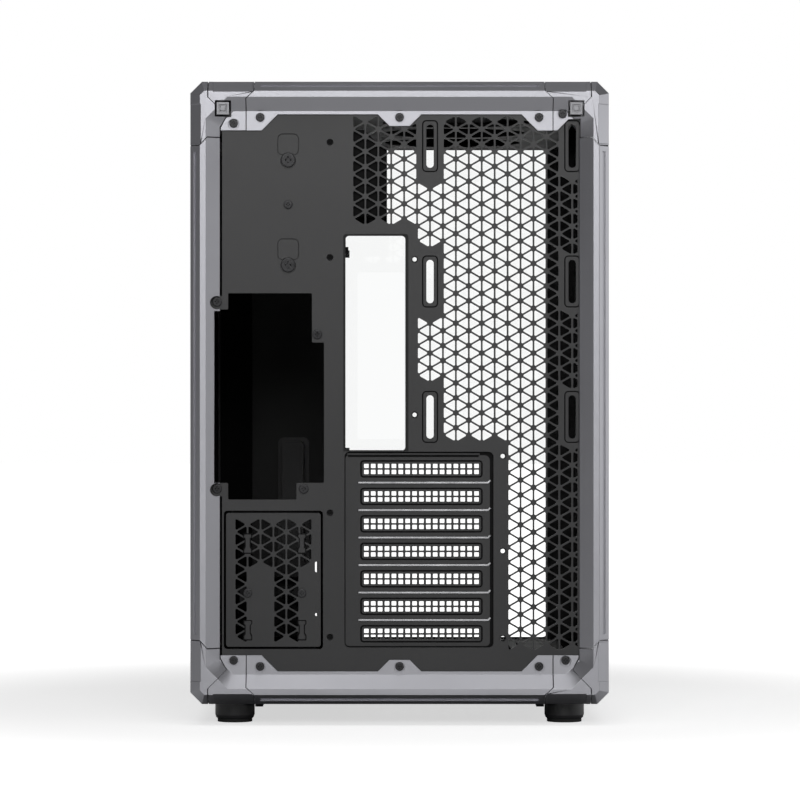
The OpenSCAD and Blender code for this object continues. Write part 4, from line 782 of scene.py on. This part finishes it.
# Bay cover with its own vents, pressed hooks and folded edge
bayScrews = [(-112.2, 96.7), (-72.2, 96.7)]
hook = {"width": 5.2, "neck": 0.3, "foot": -29, "head": 35, "proud": 0.7, "thickness": 1, "edge": 0.25,
        "gap": 0.8}
hookPlaces = [(x, z + rise) for x, z in bayScrews for rise in (hook["foot"], hook["head"])]


def hookOutline(x, z, grow):
    # an upright neck between a foot and a head, the same on both sides
    half, neck = hook["width"] / 2 + grow, hook["width"] * hook["neck"] + grow
    side = [(half, -4.5 - grow, 0.6), (half, -2.2 + grow, 0.6), (neck, -0.4 + grow, 0.4),
            (neck, 6, 0.3), (half, 7, 0.4), (half, 9 + grow, 0.6)]
    otherSide = [(-dx, dz, radius) for dx, dz, radius in reversed(side)]
    return filleted([(x + dx, z + dz, radius)
                     for dx, dz, radius in otherSide[-1:] + side + otherSide[:-1]], 3)


def makeBayCover():
    x, z, width, height = bay["x"], bay["z"], bay["width"], bay["height"]
    front, sheet = back["front"], back["thickness"]
    left, low = x - width / 2, z - height / 2
    right, high = left + width, low + height
    columns = int((width - bay["sideRoom"]) // ventColumn)
    side = (width - columns * ventColumn) / 2
    rim = roundedBox(x, z, width, height, bay["corner"])
    outlines = [rim]
    for column in range(columns):
        plainFoot = height * bay["plainShare"] if column in bay["plainColumns"] else 0
        outlines += ventZone(left + side, high - bay["ventTop"], [column], low + bay["rim"] + plainFoot,
                             high - bay["rim"])
    outlines += [circle(screwX, screwZ, bay["screwHole"]) for screwX, screwZ in bayScrews]
    markX = right - bay["markIn"]
    outlines.append(roundedBox(markX, low + bay["slotUp"], *bay["slotSize"], bay["slotCorner"]))
    outlines.append(circle(markX, low + bay["holeUp"], bay["hole"], 16))
    inside = roundedBox(x, z, width - 2 * sheet, height - 2 * sheet, 1)
    parts = [flatSheet("baySheet", outlines, front + 0.1, sheet),
             flatSheet("bayFold", [rim, inside], front + bay["foldV"], bay["fold"])]
    parts += [flatSheet("bayHook", [hookOutline(hookX, hookZ, 0)], front - hook["proud"], hook["thickness"],
                        hook["edge"]) for hookX, hookZ in hookPlaces]
    return joinPieces(parts, "bayCover")


bayCover = makeBayCover()
finishPiece(bayCover, "sheet", replaced=["bay_cover"])
# Painted shade: a dark line round each pressed hook stands in for the shade at its edge
hookShadeLines = joinPieces([flatSheet("hookShadeLine", [hookOutline(x, z, hook["gap"]), hookOutline(x, z, 0.1)],
                                 back["front"] + 0.04, 0.1, 0.02) for x, z in hookPlaces], "hookShadeLines")
finishPiece(hookShadeLines, "rubber", finish="shadeSheet")
print("bay cover ready")


# Sheet parts with every edge broken, each in its own finish: the parts deep in the case take the shade
# finish, which is painted shade, and the outer panels take the cover finish, partly painted shade
sheetEdges = {"break": 0.16 * mm}
sheetFinishes = {"tray": "shadeSheet", "floor_plate": "shadeSheet", "fan_tray": "shadeSheet",
                 "drive_cage": "shadeSheet", "keyhole_plate": "sheet", "front_chassis": "shadeSheet",
                 "top_cover": "coverSheet", "left_panel": "coverSheet", "front_vent_panel": "coverSheet"}
for name, finish in sheetFinishes.items():
    piece = cadCopy(name)
    roundEdges(piece, sheetEdges["break"], 1)
    finishPiece(piece, "sheet", replaced=[name], finish=finish)
print("sheet parts:", len(sheetFinishes))


# Moulded and rubber parts
mouldedEdges = {"connector_housing": 0.5 * mm, "bottom_filter": 0.3 * mm, "pull_tab": 0.3 * mm,
                "foot_rear_left": 0.5 * mm, "foot_rear_right": 0.5 * mm, "foot_front_left": 0.5 * mm,
                "foot_front_right": 0.5 * mm}
rubberEdges = {"foot_pads": 0.3 * mm, "cable_grommets": 0.3 * mm}
for slotName, edges in (("plastic", mouldedEdges), ("rubber", rubberEdges)):
    for name, width in edges.items():
        piece = cadCopy(name)
        roundEdges(piece, width, 2)
        finishPiece(piece, slotName, replaced=[name])
print("moulded parts ready")


# Clear panes with polished edges
paneEdges = {"break": 0.6 * mm}
for name in ("side_glass", "front_glass"):
    piece = cadCopy(name)
    roundEdges(piece, paneEdges["break"], 2)
    finishPiece(piece, "glass", replaced=[name])


# Small parts: pins, standoffs, ports, the side's filter and the two buttons
smallEdges = {"break": 0.2 * mm}
slotOf = {subpart["node"]: subpart["material_slot"] for subpart in frame["record"]["subparts"]}
for name in ("snap_pins", "standoffs", "port_shells", "left_filter", "power_button", "reset_button"):
    piece = cadCopy(name)
    roundEdges(piece, smallEdges["break"], 2)
    finishPiece(piece, slotOf[name], bodyOf(name), [name], "pin" if name == "snap_pins" else None)
print("panes and small parts ready")


# Screws: a domed head with a cross recess and a threaded shank, one model for each width and length
screws = {"head": 1.5, "recess": 0.6, "arm": 0.19, "deep": 0.62, "dome": 0.42, "shank": 3, "thread": 0.5,
          "root": 0.82, "shadeSink": 0.35, "shadeReach": 0.47, "shadeArm": 0.42}


def makeScrew(across, height, length):
    deselectAll()
    bpy.ops.mesh.primitive_cylinder_add(vertices=32, radius=across / 2, depth=height,
                                        location=(0, 0, height / 2))
    head = bpy.context.active_object
    head.name = "screw"
    selectEdges(head, lambda a, b: a.z < 1e-6 and b.z < 1e-6)
    bpy.ops.mesh.bevel(offset=height * screws["dome"], segments=4, affect="EDGES")
    backToObject()
    for turn in (0, 90):
        bpy.ops.mesh.primitive_cube_add(size=1, rotation=(0, 0, math.radians(turn)))
        cutter = bpy.context.active_object
        cutter.scale = (across * screws["recess"], across * screws["arm"], 2 * height * screws["deep"])
        settle(cutter)
        selectFaces(cutter, lambda face: face.normal.z > 0.9)
        bpy.ops.transform.resize(value=(0.45, 0.6, 1))
        backToObject()
        makeActive(head)
        applyModifier(head, "BOOLEAN", operation="DIFFERENCE", object=cutter, solver="EXACT")
        bpy.data.objects.remove(cutter)
    deselectAll()
    shank = screws["shank"] / 2 * mm
    turns = max(2, int((length - height) / (screws["thread"] * mm)))
    pitch = (length - height) / turns
    rings = []
    for k in range(turns):
        bpy.ops.mesh.primitive_cone_add(vertices=16, radius1=shank, radius2=shank * screws["root"],
                                        depth=pitch, end_fill_type="NOTHING",
                                        location=(0, 0, height + (k + 0.5) * pitch))
        rings.append(bpy.context.active_object)
    piece = joinPieces([head] + rings, "screw")
    piece.rotation_euler = (math.radians(-90), 0, 0)
    settle(piece)
    return piece


def recessShade(across, place):
    # painted shade: a dark cross that stands in for the shade down in the recess
    half = across * screws["recess"] * screws["shadeReach"]
    arm = across * screws["arm"] * screws["shadeArm"]
    outline = [(half, -arm), (half, arm), (arm, arm), (arm, half), (-arm, half), (-arm, arm),
               (-half, arm), (-half, -arm), (-arm, -arm), (-arm, -half), (arm, -half), (arm, -arm)]
    mesh = bpy.data.meshes.new("recessShade")
    corners = [(place[0] + x, place[1], place[2] + z) for x, z in outline]
    mesh.from_pydata(corners, [], [list(range(len(corners)))])
    piece = bpy.data.objects.new("recessShade", mesh)
    bpy.context.scene.collection.objects.link(piece)
    return piece


def screwRow():
    # a finished screw in place of each plain one
    plain = cadCopy("case_screws")
    selectEverything(plain)
    bpy.ops.mesh.separate(type="LOOSE")
    backToObject()
    models, row, shadeCrosses = {}, [], []
    for single in list(bpy.context.selected_objects):
        corners = [corner.co for corner in single.data.vertices]
        low = Vector([min(c[axis] for c in corners) for axis in range(3)])
        high = Vector([max(c[axis] for c in corners) for axis in range(3)])
        across, length = round(high.x - low.x, 5), round(high.y - low.y, 5)
        if (across, length) not in models:
            models[across, length] = makeScrew(across, screws["head"] * mm, length)
        middle = (low + high) / 2
        row.append(placedCopy(models[across, length], (middle.x, low.y, middle.z)))
        shadeCrosses.append(recessShade(across, (middle.x, low.y + screws["shadeSink"] * mm, middle.z)))
        bpy.data.objects.remove(single)
    for model in models.values():
        bpy.data.objects.remove(model)
    return joinPieces(row, "screwRow"), joinPieces(shadeCrosses, "recessShades")


screwPieces, recessShades = screwRow()
# the crosses take the shade finish, which is painted shade in the screw recesses
finishPiece(recessShades, "screw", finish="shadeSheet")
smoothShade(screwPieces, 40)
finishPiece(screwPieces, "screw", replaced=["case_screws"])
print("screws:", len(screwPieces.data.polygons), "faces")


# Painted shade: a black strip round the board opening stands in for the shaded fold of its edge
edging = {"left": 1.4, "right": 2.1, "top": 1.3, "foot": 0.3, "inside": 0.15, "proud": 0.5, "thickness": 0.6,
          "edge": 0.15, "outerTop": 2.2, "outerFoot": 0.3, "inner": 2.6}


def makeFoldShade():
    left, low = back["boardLeft"], back["boardLow"]
    right, high = left + back["boardWidth"], low + back["boardHeight"]
    outLeft, outRight = left - edging["left"], right + edging["right"]
    outLow, outHigh = low - edging["foot"], high + edging["top"]
    head, foot, corner, inside = edging["outerTop"], edging["outerFoot"], edging["inner"], edging["inside"]
    outer = filleted([(outLeft, outLow, foot), (outRight, outLow, foot), (outRight, outHigh, head),
                      (outLeft, outHigh, head)])
    inner = filleted([(left + inside, low + inside, corner), (right - inside, low + inside, corner),
                      (right - inside, high - inside, corner), (left + inside, high - inside, corner)])
    return flatSheet("boardFoldShade", [outer, inner], back["front"] - edging["proud"], edging["thickness"],
                     edging["edge"])


boardFoldShade = makeFoldShade()
finishPiece(boardFoldShade, "rubber")
print("board edging ready")


# Fine dust screen under the top cover
dustScreen = {"margin": 16 * mm, "drop": 0.1 * mm}


def makeDustScreen():
    low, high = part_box("top_cover")
    deselectAll()
    bpy.ops.mesh.primitive_plane_add(size=1, location=((low.x + high.x) / 2, (low.y + high.y) / 2,
                                                       low.z - dustScreen["drop"]))
    piece = bpy.context.active_object
    piece.name = "dustScreen"
    margin = dustScreen["margin"]
    piece.scale = (high.x - low.x - 2 * margin, high.y - low.y - 2 * margin, 1)
    settle(piece)
    return piece


topScreen = makeDustScreen()
finishPiece(topScreen, "plastic", finish="screen")
print("dust screen ready")


# Stage: pale floor, soft light and the camera of the photograph
stage = {"floorSize": 24, "floorDrop": 0.2 * mm, "floorTint": 0.86, "shadowTint": 0.12,
         "shadowSides": (0.13, 0.19), "shadowEnds": (0.215, 0.27), "floorLift": 0.62, "floorGloss": 0.2,
         "nearFloor": 0.3, "farFloor": 0.75, "roomGloss": 0.2, "roomFill": 0.05}
lamps = {
    "backCard": {"place": (0, -4.5, 1.75), "target": (0, 0, 1.75), "size": (3.6, 1.8), "watts": 78},
    "overhead": {"place": (0, -1.1, 2.3), "target": (0, -1.0, 0), "size": (2.4, 1.2), "watts": 13},
    "rightBack": {"place": (2.3, -0.9, 0.6), "target": (0, -0.9, 0.6), "size": (1.3, 1.2), "watts": 4},
    "rightFront": {"place": (2.3, 0.5, 0.6), "target": (0, 0.5, 0.6), "size": (1.3, 1.2), "watts": 6},
}


def grey(level):
    return (level, level, level, 1)


def straightRays(tree, links, seen):
    # rays that come from the camera, also through the panes
    return mathNode(tree, links, "MAXIMUM", seen.outputs["Is Camera Ray"],
                    seen.outputs["Is Transmission Ray"])


def whiteFloor():
    deselectAll()
    bpy.ops.mesh.primitive_plane_add(size=stage["floorSize"], location=(0, 0, -stage["floorDrop"]))
    floor = bpy.context.active_object
    floor.name = "floor"
    material, tree, links, shader, place = startMaterial("paleFloor")
    shader.inputs["Roughness"].default_value = 0.9
    shader.inputs["Specular IOR Level"].default_value = 0.1
    seen = tree.new("ShaderNodeLightPath")
    straight = straightRays(tree, links, seen)
    # the far floor runs into the white backdrop, the near floor keeps the shadow
    distance = tree.new("ShaderNodeVectorMath")
    distance.operation = "LENGTH"
    links.new(place.outputs["Object"], distance.inputs[0])
    far = rampNode(tree, links, distance.outputs["Value"], stage["nearFloor"], stage["farFloor"],
                   stage["floorLift"], 1.0)
    # painted shadow: below the case the floor is dark in its colour and in what the metal mirrors, standing
    # in for the case's shadow
    axes = tree.new("ShaderNodeSeparateXYZ")
    links.new(place.outputs["Object"], axes.inputs["Vector"])
    sideways = mathNode(tree, links, "ABSOLUTE", axes.outputs["X"], 0)
    endways = mathNode(tree, links, "ABSOLUTE", axes.outputs["Y"], 0)
    sides = rampNode(tree, links, sideways, *stage["shadowSides"])
    ends = rampNode(tree, links, endways, *stage["shadowEnds"])
    outside = mathNode(tree, links, "MAXIMUM", sides, ends)
    mirrored = mathNode(tree, links, "MULTIPLY", outside, seen.outputs["Is Glossy Ray"])
    lift = mathNode(tree, links, "ADD", mathNode(tree, links, "MULTIPLY", straight, far),
                    mathNode(tree, links, "MULTIPLY", mirrored, stage["floorGloss"]))
    # the floor's colour is darker under the case for all but straight rays, which is painted shadow
    tint = tree.new("ShaderNodeMix")
    tint.data_type = "RGBA"
    tint.inputs["A"].default_value = grey(stage["shadowTint"])
    tint.inputs["B"].default_value = grey(stage["floorTint"])
    links.new(mathNode(tree, links, "MAXIMUM", straight, outside), tint.inputs["Factor"])
    links.new(tint.outputs["Result"], shader.inputs["Base Color"])
    shader.inputs["Emission Color"].default_value = grey(1)
    links.new(lift, shader.inputs["Emission Strength"])
    floor.data.materials.append(material)


def studioWorld():
    world = bpy.data.worlds.new("studio")
    bpy.context.scene.world = world
    world.use_nodes = True
    tree, links = world.node_tree.nodes, world.node_tree.links
    background = tree["Background"]
    seen = tree.new("ShaderNodeLightPath")
    white = straightRays(tree, links, seen)
    mirrored = mathNode(tree, links, "MULTIPLY", seen.outputs["Is Glossy Ray"], stage["roomGloss"])
    soft = mathNode(tree, links, "MULTIPLY", seen.outputs["Is Diffuse Ray"], stage["roomFill"])
    level = mathNode(tree, links, "MAXIMUM", white, mathNode(tree, links, "MAXIMUM", mirrored, soft))
    background.inputs["Color"].default_value = grey(1)
    links.new(level, background.inputs["Strength"])


def softbox(name, lamp):
    data = bpy.data.lights.new(name, "AREA")
    data.shape = "RECTANGLE"
    data.size, data.size_y = lamp["size"]
    data.energy = lamp["watts"]
    box = bpy.data.objects.new(name, data)
    bpy.context.scene.collection.objects.link(box)
    box.location = lamp["place"]
    box.rotation_euler = (Vector(lamp["target"]) - Vector(lamp["place"])).to_track_quat("-Z", "Y").to_euler()
    box.visible_camera = False
    box.visible_transmission = False


whiteFloor()
studioWorld()
for name, lamp in lamps.items():
    softbox(name, lamp)

cameraView = {"place": (0.0003, -3.215, 0.240), "focal": 182.8, "sensor": 36}
lens = bpy.data.cameras.new("view")
lens.lens = cameraView["focal"]
lens.sensor_width = cameraView["sensor"]
camera = bpy.data.objects.new("view", lens)
camera.location = cameraView["place"]
camera.rotation_euler = (math.radians(90), 0, 0)
bpy.context.scene.collection.objects.link(camera)
bpy.context.scene.camera = camera
bpy.context.scene.view_settings.view_transform = "Standard"
print("stage ready")
